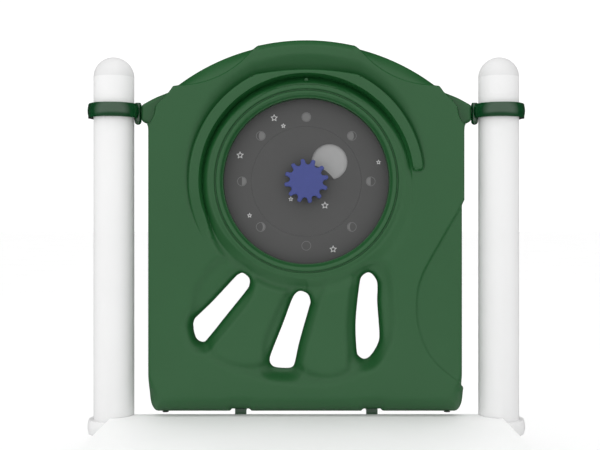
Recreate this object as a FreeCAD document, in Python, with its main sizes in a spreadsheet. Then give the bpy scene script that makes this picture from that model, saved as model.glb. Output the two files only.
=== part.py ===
import FreeCAD, Part
import math
import os
import Sketcher

# A play-panel bay for a post-and-deck playground: a hollow rotomoulded panel with a
# moon-phase dial hangs from clamps between two tall posts, behind a square deck.
# Millimetres, +Z up, origin on the ground at the middle of the bay. The panel's face is -Y.

Vector = FreeCAD.Vector
doc = FreeCAD.newDocument("PlayPanelBay")

# ---------------------------------------------------------------- driving dimensions
driving = {
    "post_spacing": 1219.2,        # centre to centre, both ways
    "post_diameter": 127.0,
    "post_wall": 3.2,
    "post_rise": 1066.8,           # tube top above the deck, tall posts
    "short_post_rise": 25.4,       # tube top above the deck, front posts
    "cap_skirt": 28.0,
    "cap_wall": 3.0,
    "rivet_radius": 2.4,
    "base_width": 177.8,
    "base_thickness": 9.525,
    "anchor_spacing": 139.7,
    "anchor_hole_radius": 7.15,
    "deck_height": 203.2,
    "deck_thickness": 12.7,
    "deck_notch_gap": 2.0,         # between a post and the deck's corner arc
    "rim_depth": 50.8,
    "rim_thickness": 5.0,
    "rim_end_gap": 4.0,
    "rim_slot_length": 424.0,
    "rim_slot_height": 9.0,
    "joist_width": 38.1,
    "joist_wall": 3.0,
    "joist_place": 260.0,          # from the middle of the deck
    "seat_clearance": 0.2,         # between a post and a ring, a skirt or a tube
    "ring_wall": 18.5,             # from a post's surface to a ring's crown
    "ring_height": 44.45,
    "ring_crown": 4.0,             # how far the outer face of a ring bulges
    "clamp_height": 959.5,         # middle of a clamp above the deck
    "knuckle_reach": 12.8,         # from a post's surface to the pivot
    "knuckle_radius": 11.0,
    "knuckle_gap": 0.3,
    "pivot_radius": 5.0,
    "pivot_clearance": 0.1,
    "lap_radius": 9.0,
    "lap_pin_radius": 4.0,
    "nut_height": 20.0,
    "nut_radius": 11.0,
    "nut_flange_radius": 11.8,
    "tongue_thickness": 6.35,
    "tongue_height": 34.0,
    "tongue_reach": 41.0,          # length inside the panel's ear
    "panel_gap": 51.1,             # between a post and the panel's side
    "panel_lift": 10.0,            # panel's bottom edge above the deck
    "panel_top": 1180.8,           # crown above the deck
    "panel_depth": 96.0,
    "panel_wall": 6.35,
    "panel_corner": 40.0,
    "panel_edge": 11.0,            # rounding of the face's edge
    "shoulder_inset": 76.0,        # end of the arch, in from the panel's side
    "shoulder_rise": 76.9,         # end of the arch, above the clamps' middle
    "ear_thickness": 40.0,
    "ear_gap": 1.3,                # between an ear's end and the knuckle
    "scallop_depth": 6.0,
    "scallop_start": 156.0,
    "side_step": 7.0,
    "side_step_top": 678.0,
    "side_step_foot": 96.0,
    "lens_depth": 6.0,
    "lens_reach": 154.0,           # how far the lens runs in from the panel's side
    "brow_half": 285.0,
    "brow_end_drop": 120.0,        # ends, upper edge and lower edge of the brow, below the crown
    "brow_top_drop": 47.0,
    "brow_low_drop": 94.0,
    "brow_depth": 8.0,
    "dish_left": 375.0,
    "dish_right": 286.0,
    "dish_foot": 650.0,
    "dish_depth": 10.0,
    "dial_height": 738.0,          # dial axis above the deck
    "dial_radius": 261.0,
    "lip_rise": 2.0,
    "lip_width": 41.0,
    "bowl_width": 30.0,
    "bowl_depth": 20.0,
    "visor_width": 37.5,
    "visor_rise": 10.0,
    "seam_offset": 23.0,
    "face_overlap": 9.0,           # how far the face plate runs behind the lip
    "plate_clearance": 0.5,
    "face_thickness": 6.35,
    "moon_thickness": 3.175,
    "board_thickness": 12.7,
    "board_overlap": 74.0,
    "rotor_radius": 174.5,
    "rotor_gap": 0.75,
    "rotor_float": 0.35,
    "window_radius": 57.0,
    "window_offset": 96.0,
    "window_angle": 40.0,
    "shadow_radius": 105.0,
    "shadow_drop": 51.0,
    "shadow_thickness": 1.5,
    "knob_root": 50.0,
    "knob_tip": 69.0,
    "knob_tooth_width": 12.0,
    "knob_thickness": 22.0,
    "knob_tilt": 10.0,
    "spacer_radius": 51.0,
    "spacer_length": 20.0,
    "axle_radius": 6.35,
    "axle_clearance": 0.07,
    "axle_grip": 14.0,             # length inside the knob
    "bushing_radius": 9.5,
    "bushing_flange": 14.0,
    "flange_thickness": 2.4,
    "washer_radius": 15.0,
    "washer_thickness": 2.5,
    "thrust_gap": 0.3,
    "axle_nut_width": 19.0,
    "axle_nut_height": 10.8,
    "drive_screw_radius": 2.5,
    "drive_screw_circle": 34.0,
    "drive_screw_grip": 6.8,       # length inside the knob
    "dial_bolt_radius": 3.0,
    "dial_bolt_head": 6.0,
    "dial_bolt_head_height": 2.6,
    "mark_height": 0.4,
    "tab_offset": 208.0,
    "tab_width": 36.0,
    "tab_thickness": 6.35,
    "tab_foot": 36.0,
    "tab_drop": 45.0,
    "notch_width": 68.0,
    "notch_height": 7.0,
    "tab_bolt_radius": 5.0,
    "drain_inset": 9.0,            # from the end of the bottom edge's straight run
    "drain_radius": 6.0,
    "slot_left_x": -199.0,         # slots: top and foot centres from the dial axis, and radii
    "slot_left_top": -21.0,
    "slot_left_top_radius": 19.5,
    "slot_left_foot_x": -327.0,
    "slot_left_foot": 134.0,
    "slot_left_foot_radius": 32.0,
    "slot_middle_x": -14.0,
    "slot_middle_top": 32.0,
    "slot_middle_top_radius": 25.0,
    "slot_middle_foot_x": -72.0,
    "slot_middle_foot": 222.0,
    "slot_middle_foot_radius": 34.0,
    "slot_right_x": 195.0,
    "slot_right_top": -1.0,
    "slot_right_top_radius": 27.0,
    "slot_right_foot_x": 194.0,
    "slot_right_foot": 180.0,
    "slot_right_foot_radius": 35.0,
}

# Sizes that follow from the ones above.
derived = {
    "ring_radius": "=post_diameter / 2 + ring_wall",
    "knuckle_offset": "=post_diameter / 2 + knuckle_reach",
    "dial_bolt_circle": "=dial_radius + lip_width + bowl_width / 2",
    "drain_offset": "=post_spacing / 2 - post_diameter / 2 - panel_gap - panel_corner - drain_inset",
}

dims = doc.addObject("Spreadsheet::Sheet", "Dims")
for row, (alias, value) in enumerate({**driving, **derived}.items(), start=1):
    dims.set(f"A{row}", alias)
    dims.set(f"B{row}", str(value))
    dims.setAlias(f"B{row}", alias)
doc.recompute()


def size(alias):
    return float(dims.get(alias))


# ---------------------------------------------------------------- small helpers
turns = {
    "X": FreeCAD.Rotation(Vector(0, 1, 0), 90),
    "Y": FreeCAD.Rotation(Vector(1, 0, 0), -90),
    "Z": FreeCAD.Rotation(),
}
parts = []


def bind(item, rules):
    for path, rule in rules.items():
        item.setExpression(path, rule)
    return item


def place(item, x="0", y="0", z="0"):
    return bind(item, {"Placement.Base.x": x, "Placement.Base.y": y, "Placement.Base.z": z})


def rod(name, radius, length, x="0", y="0", z="0", along="Z"):
    item = doc.addObject("Part::Cylinder", name)
    item.Placement = FreeCAD.Placement(Vector(), turns[along])
    bind(item, {"Radius": radius, "Height": length})
    return place(item, x, y, z)


def block(name, length, width, height, x="0", y="0", z="0"):
    item = doc.addObject("Part::Box", name)
    bind(item, {"Length": length, "Width": width, "Height": height})
    return place(item, x, y, z)


def cut(name, base, *tools):
    result = base
    for tool in tools:
        item = doc.addObject("Part::Cut", name)
        item.Base = result
        item.Tool = tool
        result = item
    return result


def fuse(name, *shapes):
    item = doc.addObject("Part::MultiFuse", name)
    item.Shapes = list(shapes)
    return item


def group(name, solids):
    item = doc.addObject("Part::Compound", name)
    item.Links = list(solids)
    return item


def finish(item, node):
    item.Label = node
    parts.append(item)
    return item


def newBody(name):
    return doc.addObject("PartDesign::Body", name)


def newSketch(body, plane, name, lift=None):
    sketch = body.newObject("Sketcher::SketchObject", name)
    datum = next(item for item in body.Origin.OriginFeatures if item.Role == plane)
    sketch.AttachmentSupport = [(datum, "")]
    sketch.MapMode = "FlatFace"
    if lift:
        sketch.setExpression("AttachmentOffset.Base.z", lift)
    return sketch


def drawCircle(sketch, radius, x=0.0, y=0.0):
    ring = sketch.addGeometry(Part.Circle(Vector(x, y, 0), Vector(0, 0, 1), 1.0))
    held = sketch.addConstraint(Sketcher.Constraint("Radius", ring, 1.0))
    sketch.setExpression(f"Constraints[{held}]", radius)
    if x == 0.0 and y == 0.0:
        sketch.addConstraint(Sketcher.Constraint("Coincident", ring, 3, -1, 1))
    else:
        sketch.addConstraint(Sketcher.Constraint("DistanceX", -1, 1, ring, 3, x))
        sketch.addConstraint(Sketcher.Constraint("DistanceY", -1, 1, ring, 3, y))


# A loop is a list of corners; a corner wrapped as ("via", x, y) is the middle of an arc.
def drawLoop(sketch, loop):
    corners = [point for point in loop if point[0] != "via"]
    step = 0
    for index, start in enumerate(corners):
        end = corners[(index + 1) % len(corners)]
        step += 1
        if step < len(loop) and loop[step][0] == "via":
            middle = loop[step][1:]
            edge = Part.Arc(Vector(*start, 0), Vector(*middle, 0), Vector(*end, 0))
            step += 1
        else:
            edge = Part.LineSegment(Vector(*start, 0), Vector(*end, 0))
        sketch.addGeometry(edge)


def mirrored(loop):
    flipped = []
    for point in loop:
        if point[0] == "via":
            flipped.append(("via", -point[1], point[2]))
        else:
            flipped.append((-point[0], point[1]))
    return flipped


def pad(body, sketch, name, length, symmetric=True):
    feature = body.newObject("PartDesign::Pad", name)
    feature.Profile = sketch
    if symmetric:
        feature.SideType = "Symmetric"
    feature.setExpression("Length", length)
    body.Tip = feature
    return feature


# Cuts right through both ways from the sketch.
def pocketThrough(body, sketch, name):
    feature = body.newObject("PartDesign::Pocket", name)
    feature.Profile = sketch
    feature.SideType = "Symmetric"
    feature.Type = "ThroughAll"
    body.Tip = feature
    return feature


# Cuts from a lifted XZ sketch towards +Y.
def pocketInwards(body, sketch, name, depth):
    feature = body.newObject("PartDesign::Pocket", name)
    feature.Profile = sketch
    feature.setExpression("Length", depth)
    body.Tip = feature
    return feature


def revolve(body, sketch, name, kind="Revolution", axis="V_Axis", angle=360.0):
    feature = body.newObject("PartDesign::" + kind, name)
    feature.Profile = sketch
    feature.ReferenceAxis = (sketch, [axis])
    feature.Angle = angle
    feature.Midplane = angle < 360.0
    body.Tip = feature
    return feature


half_bay = "Dims.post_spacing / 2"
post_radius = "Dims.post_diameter / 2"
corners = {
    "rear_left": (-1, 1),
    "rear_right": (1, 1),
    "front_left": (-1, -1),
    "front_right": (1, -1),
}
post_names = {
    "rear_left": "post_left",
    "rear_right": "post_right",
    "front_left": "front_post_left",
    "front_right": "front_post_right",
}
sides = {"left": -1, "right": 1}
signs = {-1: "-", 1: ""}


def cornerPlace(corner):
    across, along = corners[corner]
    return f"{signs[across]}{half_bay}", f"{signs[along]}{half_bay}"


# ---------------------------------------------------------------- posts, caps and base plates
# A rivet through the back of each tube holds its cap's skirt.
def makePost(corner):
    x, y = cornerPlace(corner)
    tall = corners[corner][1] > 0
    rise = "Dims.post_rise" if tall else "Dims.short_post_rise"
    length = f"Dims.deck_height + {rise} - Dims.base_thickness"
    rivet_drop = f"{length} - Dims.cap_skirt / 2"
    outer = rod("PostOuter", post_radius, length)
    bore = rod("PostBore", f"{post_radius} - Dims.post_wall", length)
    hole = rod("RivetHole", "Dims.rivet_radius", post_radius, z=rivet_drop, along="Y")
    post = cut("Post", outer, bore, hole)
    place(post, x, y, "Dims.base_thickness")
    return finish(post, post_names[corner])


# The cap is a hollow dome flush with the tube, on a skirt that fills the bore.
def makeCap(corner):
    x, y = cornerPlace(corner)
    rise = "Dims.post_rise" if corners[corner][1] > 0 else "Dims.short_post_rise"
    dome = size("post_diameter") / 2
    skirt = dome - size("post_wall") - size("seat_clearance")
    inside = skirt - size("cap_wall")
    drop = -size("cap_skirt")
    slant = math.sqrt(0.5)
    body = newBody("CapBody")
    sketch = newSketch(body, "XZ_Plane", "CapProfile")
    drawLoop(sketch, [
        (0.0, dome), ("via", dome * slant, dome * slant),
        (dome, 0.0), (skirt, 0.0), (skirt, drop), (inside, drop),
        (inside, 0.0), ("via", inside * slant, inside * slant),
        (0.0, inside),
    ])
    revolve(body, sketch, "CapDome")
    middle = "-Dims.cap_skirt / 2"
    hole = rod("CapRivetHole", "Dims.rivet_radius", post_radius, z=middle, along="Y")
    cap = cut("Cap", body, hole)
    place(cap, x, y, f"Dims.deck_height + {rise}")
    return finish(cap, post_names[corner].replace("post", "post_cap"))


def makeCapRivets():
    rivets = []
    for corner in corners:
        x, y = cornerPlace(corner)
        rise = "Dims.post_rise" if corners[corner][1] > 0 else "Dims.short_post_rise"
        height = f"Dims.deck_height + {rise} - Dims.cap_skirt / 2"
        inner = f"{post_radius} - Dims.post_wall - Dims.cap_wall - Dims.seat_clearance"
        shank_length = "Dims.post_wall + Dims.cap_wall + Dims.seat_clearance"
        shank = rod("RivetShank", "Dims.rivet_radius", shank_length,
                    x, f"{y} + {inner}", height, "Y")
        head = rod("RivetHead", "Dims.rivet_radius * 2", "Dims.rivet_radius / 2",
                   x, f"{y} + {post_radius}", height, "Y")
        rivets.append(fuse("CapRivet", shank, head))
    return finish(group("CapRivets", rivets), "cap_rivets")


def makeBasePlate(corner):
    x, y = cornerPlace(corner)
    edge = "-Dims.base_width / 2"
    plate = block("Plate", "Dims.base_width", "Dims.base_width", "Dims.base_thickness", edge, edge)
    holes = []
    for across, along in corners.values():
        holes.append(rod("AnchorHole", "Dims.anchor_hole_radius", "Dims.base_thickness",
                         f"{signs[across]}Dims.anchor_spacing / 2",
                         f"{signs[along]}Dims.anchor_spacing / 2"))
    return finish(place(cut("BasePlate", plate, *holes), x, y), f"base_plate_{corner}")


# ---------------------------------------------------------------- deck
collar_bolt_spread = 32.0      # degrees either side of the corner's diagonal
collar_bolt_grip = 8.0         # depth in the deck board


def collarBoltPlaces(corner):
    across, along = corners[corner]
    circle = (size("post_diameter") / 2 + size("ring_radius")) / 2
    diagonal = math.degrees(math.atan2(-along, -across))
    for turn in (diagonal - collar_bolt_spread, diagonal + collar_bolt_spread):
        angle = math.radians(turn)
        middle = size("post_spacing") / 2
        yield (across * middle + circle * math.cos(angle), along * middle + circle * math.sin(angle))


# The board's corners are quarter circles that hug the posts.
def makeDeckPlate():
    reach = size("post_spacing") / 2
    notch = size("post_diameter") / 2 + size("deck_notch_gap")
    bite = notch * math.sqrt(0.5)
    loop = []
    for across, along in ((-1, -1), (1, -1), (1, 1), (-1, 1)):
        ends = [(across * reach, along * (reach - notch)), (across * (reach - notch), along * reach)]
        if across * along < 0:
            ends.reverse()
        middle = ("via", across * (reach - bite), along * (reach - bite))
        loop += [ends[0], middle, ends[1]]
    body = newBody("DeckBody")
    sketch = newSketch(body, "XY_Plane", "DeckOutline")
    drawLoop(sketch, loop)
    pad(body, sketch, "DeckPad", "Dims.deck_thickness", symmetric=False)
    holes = []
    for corner in corners:
        for x, y in collarBoltPlaces(corner):
            holes.append(rod("DeckBoltHole", "Dims.lap_pin_radius", str(collar_bolt_grip), str(x), str(y)))
    deck = cut("DeckPlate", body, *holes)
    place(deck, z="Dims.deck_height - Dims.deck_thickness")
    return finish(deck, "deck_plate")


rim_top = "Dims.deck_height - Dims.deck_thickness"
rim_middle = f"{rim_top} - Dims.rim_depth / 2"
rim_length = "(Dims.post_spacing - 2 * (Dims.ring_radius + Dims.rim_end_gap))"


def makeRims():
    thin, deep = "Dims.rim_thickness", "Dims.rim_depth"
    low = f"{rim_top} - {deep}"
    start = f"-{rim_length} / 2"
    front = block("FrontRim", rim_length, thin, deep, start, f"-{half_bay}", low)
    finish(front, "deck_rim_front")
    back = block("BackRim", rim_length, thin, deep, start, f"{half_bay} - {thin}", low)
    holes = [rod("TabBoltHole", "Dims.tab_bolt_radius", thin, f"{signs[sign]}Dims.tab_offset",
                 f"{half_bay} - {thin}", rim_middle, "Y") for sign in sides.values()]
    finish(cut("BackRimCut", back, *holes), "deck_rim_back")
    for side, sign in sides.items():
        x = f"-{half_bay}" if sign < 0 else f"{half_bay} - {thin}"
        bar = block("SideRim", thin, rim_length, deep, x, start, low)
        slot = block("SideSlot", thin, "Dims.rim_slot_length", "Dims.rim_slot_height",
                     x, "-Dims.rim_slot_length / 2", f"{rim_middle} - Dims.rim_slot_height / 2")
        finish(cut("SideRimCut", bar, slot), f"deck_rim_{side}")


def makeJoists():
    width, wall = "Dims.joist_width", "Dims.joist_wall"
    length = "(Dims.post_spacing - 2 * Dims.rim_thickness)"
    for side, sign in sides.items():
        x = f"{signs[sign]}Dims.joist_place - {width} / 2"
        tube = block("Joist", width, length, width, x, f"-{length} / 2", f"{rim_top} - {width}")
        core = block("JoistCore", f"{width} - 2 * {wall}", length, f"{width} - 2 * {wall}",
                     f"{x} + {wall}", f"-{length} / 2", f"{rim_top} - {width} + {wall}")
        finish(cut("JoistTube", tube, core), f"deck_joist_{side}")


# ---------------------------------------------------------------- rings
# Every ring is the same casting: a band with a slightly bulged outer face.
def ringBody(name):
    inner = size("post_diameter") / 2 + size("seat_clearance")
    outer = size("ring_radius")
    high = size("ring_height") / 2
    flat = outer - size("ring_crown")
    body = newBody(name)
    sketch = newSketch(body, "XZ_Plane", name + "Profile")
    drawLoop(sketch, [(inner, -high), (flat, -high), ("via", outer, 0.0), (flat, high), (inner, high)])
    revolve(body, sketch, name + "Band")
    return body


def makeCollars():
    middle = f"{rim_top} - Dims.ring_height / 2"
    bolts = []
    screws = []
    for corner, (across, along) in corners.items():
        x, y = cornerPlace(corner)
        inner = f"{post_radius}"
        width = "Dims.ring_radius"
        start = inner if across > 0 else f"-{width}"
        screw_hole = rod("SetScrewHole", "Dims.lap_pin_radius", f"{width} - {inner}", start, along="X")
        holes = [screw_hole]
        screws.append(rod("SetScrew", "Dims.lap_pin_radius", f"{width} - {inner} - 1",
                          f"{x} + {start}" if across > 0 else f"{x} + {start} + 1", y, middle, "X"))
        for bolt_x, bolt_y in collarBoltPlaces(corner):
            home_x = f"{bolt_x} - {signs[across]}{half_bay}".replace("- -", "+ ")
            home_y = f"{bolt_y} - {signs[along]}{half_bay}".replace("- -", "+ ")
            holes.append(rod("CollarBoltHole", "Dims.lap_pin_radius", "Dims.ring_height",
                             home_x, home_y, "-Dims.ring_height / 2"))
            low = f"{rim_top} - Dims.ring_height"
            shank = rod("CollarBoltShank", "Dims.lap_pin_radius",
                        f"Dims.ring_height + {collar_bolt_grip}", str(bolt_x), str(bolt_y), low)
            head = rod("CollarBoltHead", "Dims.lap_pin_radius * 1.7", "Dims.lap_pin_radius",
                       str(bolt_x), str(bolt_y), f"{low} - Dims.lap_pin_radius")
            bolts.append(fuse("CollarBolt", shank, head))
        collar = cut("Collar", ringBody("CollarRing"), *holes)
        place(collar, x, y, middle)
        finish(collar, f"deck_collar_{corner}")
    finish(group("CollarBolts", bolts), "collar_bolts")
    finish(group("CollarSetScrews", screws), "collar_set_screws")


# ---------------------------------------------------------------- panel clamps
# Each clamp is two half rings. They lap on an outer pin, and their knuckles stack with the
# hanger's eye on the pivot bolt: one knuckle on top, the eye between, one below.
third = "(Dims.ring_height / 3)"
clamp_z = "Dims.deck_height + Dims.clamp_height"
lap_x = "-(Dims.ring_radius + Dims.post_diameter / 2) / 2"


def clampHalf(name, front):
    full, low = "Dims.ring_height", "-Dims.ring_height / 2"
    reach = "2 * Dims.ring_radius"
    knuckle_low = "Dims.ring_height / 6" if front else low
    room_low = low if front else "-Dims.ring_height / 6"
    room = f"2 * {third}"
    lap_low = low if front else "0"
    lap_room = "0" if front else low
    band = ringBody(name + "Ring")
    other_y = "0" if front else f"-{reach}"
    other = block(name + "Other", f"2 * {reach}", reach, full, f"-{reach}", other_y, low)
    x = "Dims.knuckle_offset"
    clear = "Dims.knuckle_gap"
    knuckle_room = rod(name + "Room", f"Dims.knuckle_radius + {clear}", room, x, z=room_low)
    lap_gap = rod(name + "LapRoom", f"Dims.lap_radius + {clear}", f"{full} / 2", lap_x, z=lap_room)
    half = cut(name + "Half", band, other, knuckle_room, lap_gap)
    knuckle = rod(name + "Knuckle", "Dims.knuckle_radius", third, x, z=knuckle_low)
    lap = rod(name + "Lap", "Dims.lap_radius", f"{full} / 2", lap_x, z=lap_low)
    whole = fuse(name + "Whole", half, knuckle, lap)
    post_room = rod(name + "Post", f"{post_radius} + Dims.seat_clearance", full, z=low)
    pivot = rod(name + "Pivot", "Dims.pivot_radius + Dims.pivot_clearance", full, x, z=low)
    pin = rod(name + "Pin", "Dims.lap_pin_radius", full, lap_x, z=low)
    return cut(name, whole, post_room, pivot, pin)


def turned(item, sign):
    item.Placement = FreeCAD.Placement(Vector(), FreeCAD.Rotation(Vector(0, 0, 1), 0 if sign < 0 else 180))
    return item


def makeClamps():
    for side, sign in sides.items():
        x = f"{signs[sign]}{half_bay}"
        faces = {True: "front" if sign < 0 else "rear", False: "rear" if sign < 0 else "front"}
        for upper, face in faces.items():
            half = turned(clampHalf(f"Clamp{face}{side}", upper), sign)
            finish(place(half, x, half_bay, clamp_z), f"clamp_{face}_{side}")


# Eye on the pivot bolt, narrow neck, and a tongue that sits in the panel's ear.
def makeHangers():
    eye_height = f"{third} - 2 * Dims.knuckle_gap"
    thick, tall = "Dims.tongue_thickness", "Dims.tongue_height"
    start = "Dims.knuckle_offset"
    ear = "Dims.knuckle_offset + Dims.knuckle_radius + Dims.ear_gap"
    for side, sign in sides.items():
        eye = rod("Eye", "Dims.knuckle_radius", eye_height, start, z=f"-({eye_height}) / 2")
        neck = block("Neck", f"Dims.knuckle_radius + Dims.ear_gap + 1", thick, eye_height,
                     start, f"-{thick} / 2", f"-({eye_height}) / 2")
        tongue = block("Tongue", "Dims.tongue_reach", thick, tall, ear, f"-{thick} / 2", f"-{tall} / 2")
        bore = rod("EyeBore", "Dims.pivot_radius + Dims.pivot_clearance", "Dims.ring_height",
                   start, z="-Dims.ring_height / 2")
        whole = fuse("HangerWhole", eye, neck, tongue)
        holes = [rod("TongueHole", "Dims.lap_pin_radius", thick, f"{ear} + Dims.tongue_reach / 2",
                     f"-{thick} / 2", f"{level} * Dims.tongue_height / 4", "Y") for level in (-1, 1)]
        hanger = turned(cut("Hanger", whole, bore, *holes), sign)
        finish(place(hanger, f"{signs[sign]}{half_bay}", half_bay, clamp_z), f"hanger_{side}")


def makeClampHardware():
    bolts, nuts, pins, screws = [], [], [], []
    top = "Dims.ring_height / 2"
    for sign in sides.values():
        x = f"{signs[sign]}{half_bay}"
        pivot_x = f"{signs[sign]}({half_bay} - Dims.knuckle_offset)"
        shank = rod("PivotShank", "Dims.pivot_radius", "Dims.ring_height + Dims.nut_height / 2",
                    pivot_x, half_bay, f"{clamp_z} - {top} - Dims.nut_height / 2")
        head = rod("PivotHead", "Dims.pivot_radius * 1.8", "Dims.pivot_radius",
                   pivot_x, half_bay, f"{clamp_z} + {top}")
        bolts.append(fuse("PivotBolt", shank, head))
        radius = size("nut_radius")
        flange = size("nut_flange_radius")
        height = size("nut_height")
        rim = height / 4
        neck = height - radius
        dome_side = (radius * math.sqrt(0.5), -neck - radius * math.sqrt(0.5))
        body = newBody("DomeNutBody")
        sketch = newSketch(body, "XZ_Plane", "DomeNutProfile")
        drawLoop(sketch, [(0.0, 0.0), (flange, 0.0), (flange, -rim), (radius, -rim),
                          (radius, -neck), ("via", *dome_side), (0.0, -height)])
        revolve(body, sketch, "DomeNutTurn")
        bore = rod("DomeNutBore", "Dims.pivot_radius", "Dims.nut_height / 2", z="-Dims.nut_height / 2")
        nuts.append(place(cut("DomeNut", body, bore), pivot_x, half_bay, f"{clamp_z} - {top}"))
        outward = f"{x} + {lap_x}" if sign < 0 else f"{x} - ({lap_x})"
        pins.append(rod("LapPin", "Dims.lap_pin_radius", "Dims.ring_height",
                        outward, half_bay, f"{clamp_z} - {top}"))
        ear = "Dims.knuckle_offset + Dims.knuckle_radius + Dims.ear_gap"
        screw_x = f"{signs[sign]}({half_bay} - ({ear} + Dims.tongue_reach / 2))"
        for level in (-1, 1):
            z = f"{clamp_z} + {level} * Dims.tongue_height / 4"
            start = f"{half_bay} - Dims.tongue_thickness / 2"
            length = "Dims.tongue_thickness / 2 + Dims.ear_thickness / 2"
            shaft = rod("HangerScrewShank", "Dims.lap_pin_radius", length, screw_x, start, z, "Y")
            cap = rod("HangerScrewHead", "Dims.lap_pin_radius * 2", "Dims.lap_pin_radius",
                      screw_x, f"{half_bay} + Dims.ear_thickness / 2", z, "Y")
            screws.append(fuse("HangerScrew", shaft, cap))
    finish(group("PivotBolts", bolts), "pivot_bolts")
    finish(group("DomeNuts", nuts), "dome_nuts")
    finish(group("LapPins", pins), "clamp_lap_pins")
    finish(group("HangerScrews", screws), "hanger_screws")


# ---------------------------------------------------------------- panel
# Panel outlines are drawn about the dial axis: x across, v up.
panel_side = size("post_spacing") / 2 - size("post_diameter") / 2 - size("panel_gap")
ear_end = (size("post_spacing") / 2 - size("knuckle_offset") - size("knuckle_radius")
           - size("ear_gap"))
clamp_v = size("clamp_height") - size("dial_height")
crown_v = size("panel_top") - size("dial_height")
foot_v = size("panel_lift") - size("dial_height")
shoulder_x = panel_side - size("shoulder_inset")
shoulder_v = clamp_v + size("shoulder_rise")
arch_fall = crown_v - shoulder_v
arch_radius = (shoulder_x ** 2 + arch_fall ** 2) / (2 * arch_fall)
arch_v = crown_v - arch_radius
ear_root_drop = 59.5       # where the side starts to lean in, below the clamps' middle
ear_lean = 23.0            # how far the raised face leans in beside the ear
ear_lean_rise = 15.0
arch_overrun = 6.0         # how far the arch runs past the shoulder, under the ear
overshoot = 6.0            # how far a cut reaches past the face it opens
bowl_start = size("dial_radius") + size("lip_width")
bowl_end = bowl_start + size("bowl_width")
visor_end = bowl_end + size("visor_width")
board_radius = size("dial_radius") + size("board_overlap")
face_radius = size("dial_radius") + size("face_overlap")
face_front = size("panel_depth") / 2


def archHeight(x, radius):
    return arch_v + math.sqrt(radius ** 2 - x ** 2)


# Arch, leaning shoulders, straight sides, rounded bottom corners. inset moves it all inwards.
def panelLoop(inset):
    side = panel_side - inset
    foot = foot_v + inset
    corner = size("panel_corner") - inset
    sweep = corner * (1 - math.sqrt(0.5))
    radius = arch_radius - inset
    root_v = clamp_v - ear_root_drop
    lean_x = side - ear_lean
    lean_v = clamp_v + ear_lean_rise - inset / 2
    arch_x = shoulder_x + arch_overrun - inset * 0.75
    arch_end_v = archHeight(arch_x, radius)
    return [
        (-side + corner, foot), (side - corner, foot), ("via", side - sweep, foot + sweep),
        (side, foot + corner), (side, root_v), (lean_x, lean_v),
        (arch_x, arch_end_v), ("via", 0.0, arch_v + radius), (-arch_x, arch_end_v),
        (-lean_x, lean_v), (-side, root_v), (-side, foot + corner), ("via", -side + sweep, foot + sweep),
    ]


# Heights are from the clamps' middle: the ear starts on the shoulder, runs out over its crest to
# the clamp, and comes back under it to the side.
def earLoop():
    start, crest, brink, end = 66.0, 43.5, 20.0, 17.0
    heel, under, root = -30.0, -42.0, -52.0
    crest_out, under_in, root_in, bury = 56.0, 8.0, 5.0, 60.0
    return [
        (shoulder_x + arch_overrun, clamp_v + start),
        ("via", shoulder_x + crest_out, clamp_v + crest),
        (ear_end - 2, clamp_v + brink), (ear_end, clamp_v + end), (ear_end, clamp_v + heel),
        ("via", ear_end - under_in, clamp_v + under), (panel_side - root_in, clamp_v + root),
        (panel_side - bury, clamp_v + heel),
    ]


# The arch's edge is a little lower on both flanks of the crown.
def scallopLoop():
    start, end = size("scallop_start"), shoulder_x
    middle = (start + end) / 2
    low = arch_radius - size("scallop_depth")
    high = arch_radius + size("scallop_depth")
    return [
        (start, archHeight(start, low)), ("via", middle, archHeight(middle, low)),
        (end, archHeight(end, low)), (end, archHeight(end, high)),
        ("via", middle, archHeight(middle, high)), (start, archHeight(start, high)),
    ]


def sideStepLoop():
    chamfer = 2 * size("side_step")
    beyond = panel_side + overshoot
    top = size("side_step_top") - size("dial_height")
    foot = size("side_step_foot") - size("dial_height")
    return [
        (panel_side - size("side_step"), foot), (panel_side, foot - size("side_step")),
        (beyond, foot - size("side_step")), (beyond, top),
        (panel_side, top), (panel_side - size("side_step"), top - chamfer),
    ]


# A shallow bow cut in from the stepped side; grow widens it all round.
def lensLoop(grow):
    top = size("side_step_top") - size("dial_height") - 2 * size("side_step") + grow
    foot = size("side_step_foot") - size("dial_height") + 2 - grow
    inner = panel_side - size("lens_reach") - grow
    tip = panel_side - size("side_step") - 1
    beyond = panel_side + overshoot
    return [
        (tip, top), ("via", inner, (top + foot) / 2), (tip, foot),
        (beyond, foot), (beyond, top),
    ]


# Crescent between the arch and the visor.
def browLoop(grow):
    ends = size("brow_half") + grow
    end_v = crown_v - size("brow_end_drop")
    return [
        (-ends, end_v), ("via", 0.0, crown_v - size("brow_top_drop") + grow), (ends, end_v),
        ("via", 0.0, crown_v - size("brow_low_drop") - grow),
    ]


# The shallow dish around the three slots, open to the bowl at its top.
def dishLoop(grow):
    left, right = -size("dish_left") - grow, size("dish_right") + grow
    low = -size("dish_foot") - grow
    left_top, left_turn, right_turn, right_top = -225.0, -450.0, -410.0, -290.0
    left_corner = ("via", left + 42, low + 95 + grow)
    right_corner = ("via", right - 40, low + 80 + grow / 2)
    return [
        (left, left_top), (left, left_turn), left_corner, (-207.0, low + 29),
        ("via", -30.0, low), (130.0, low + 17), right_corner, (right, right_turn),
        (right - 30, right_top), ("via", 0.0, -bowl_end - overshoot),
    ]


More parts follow.
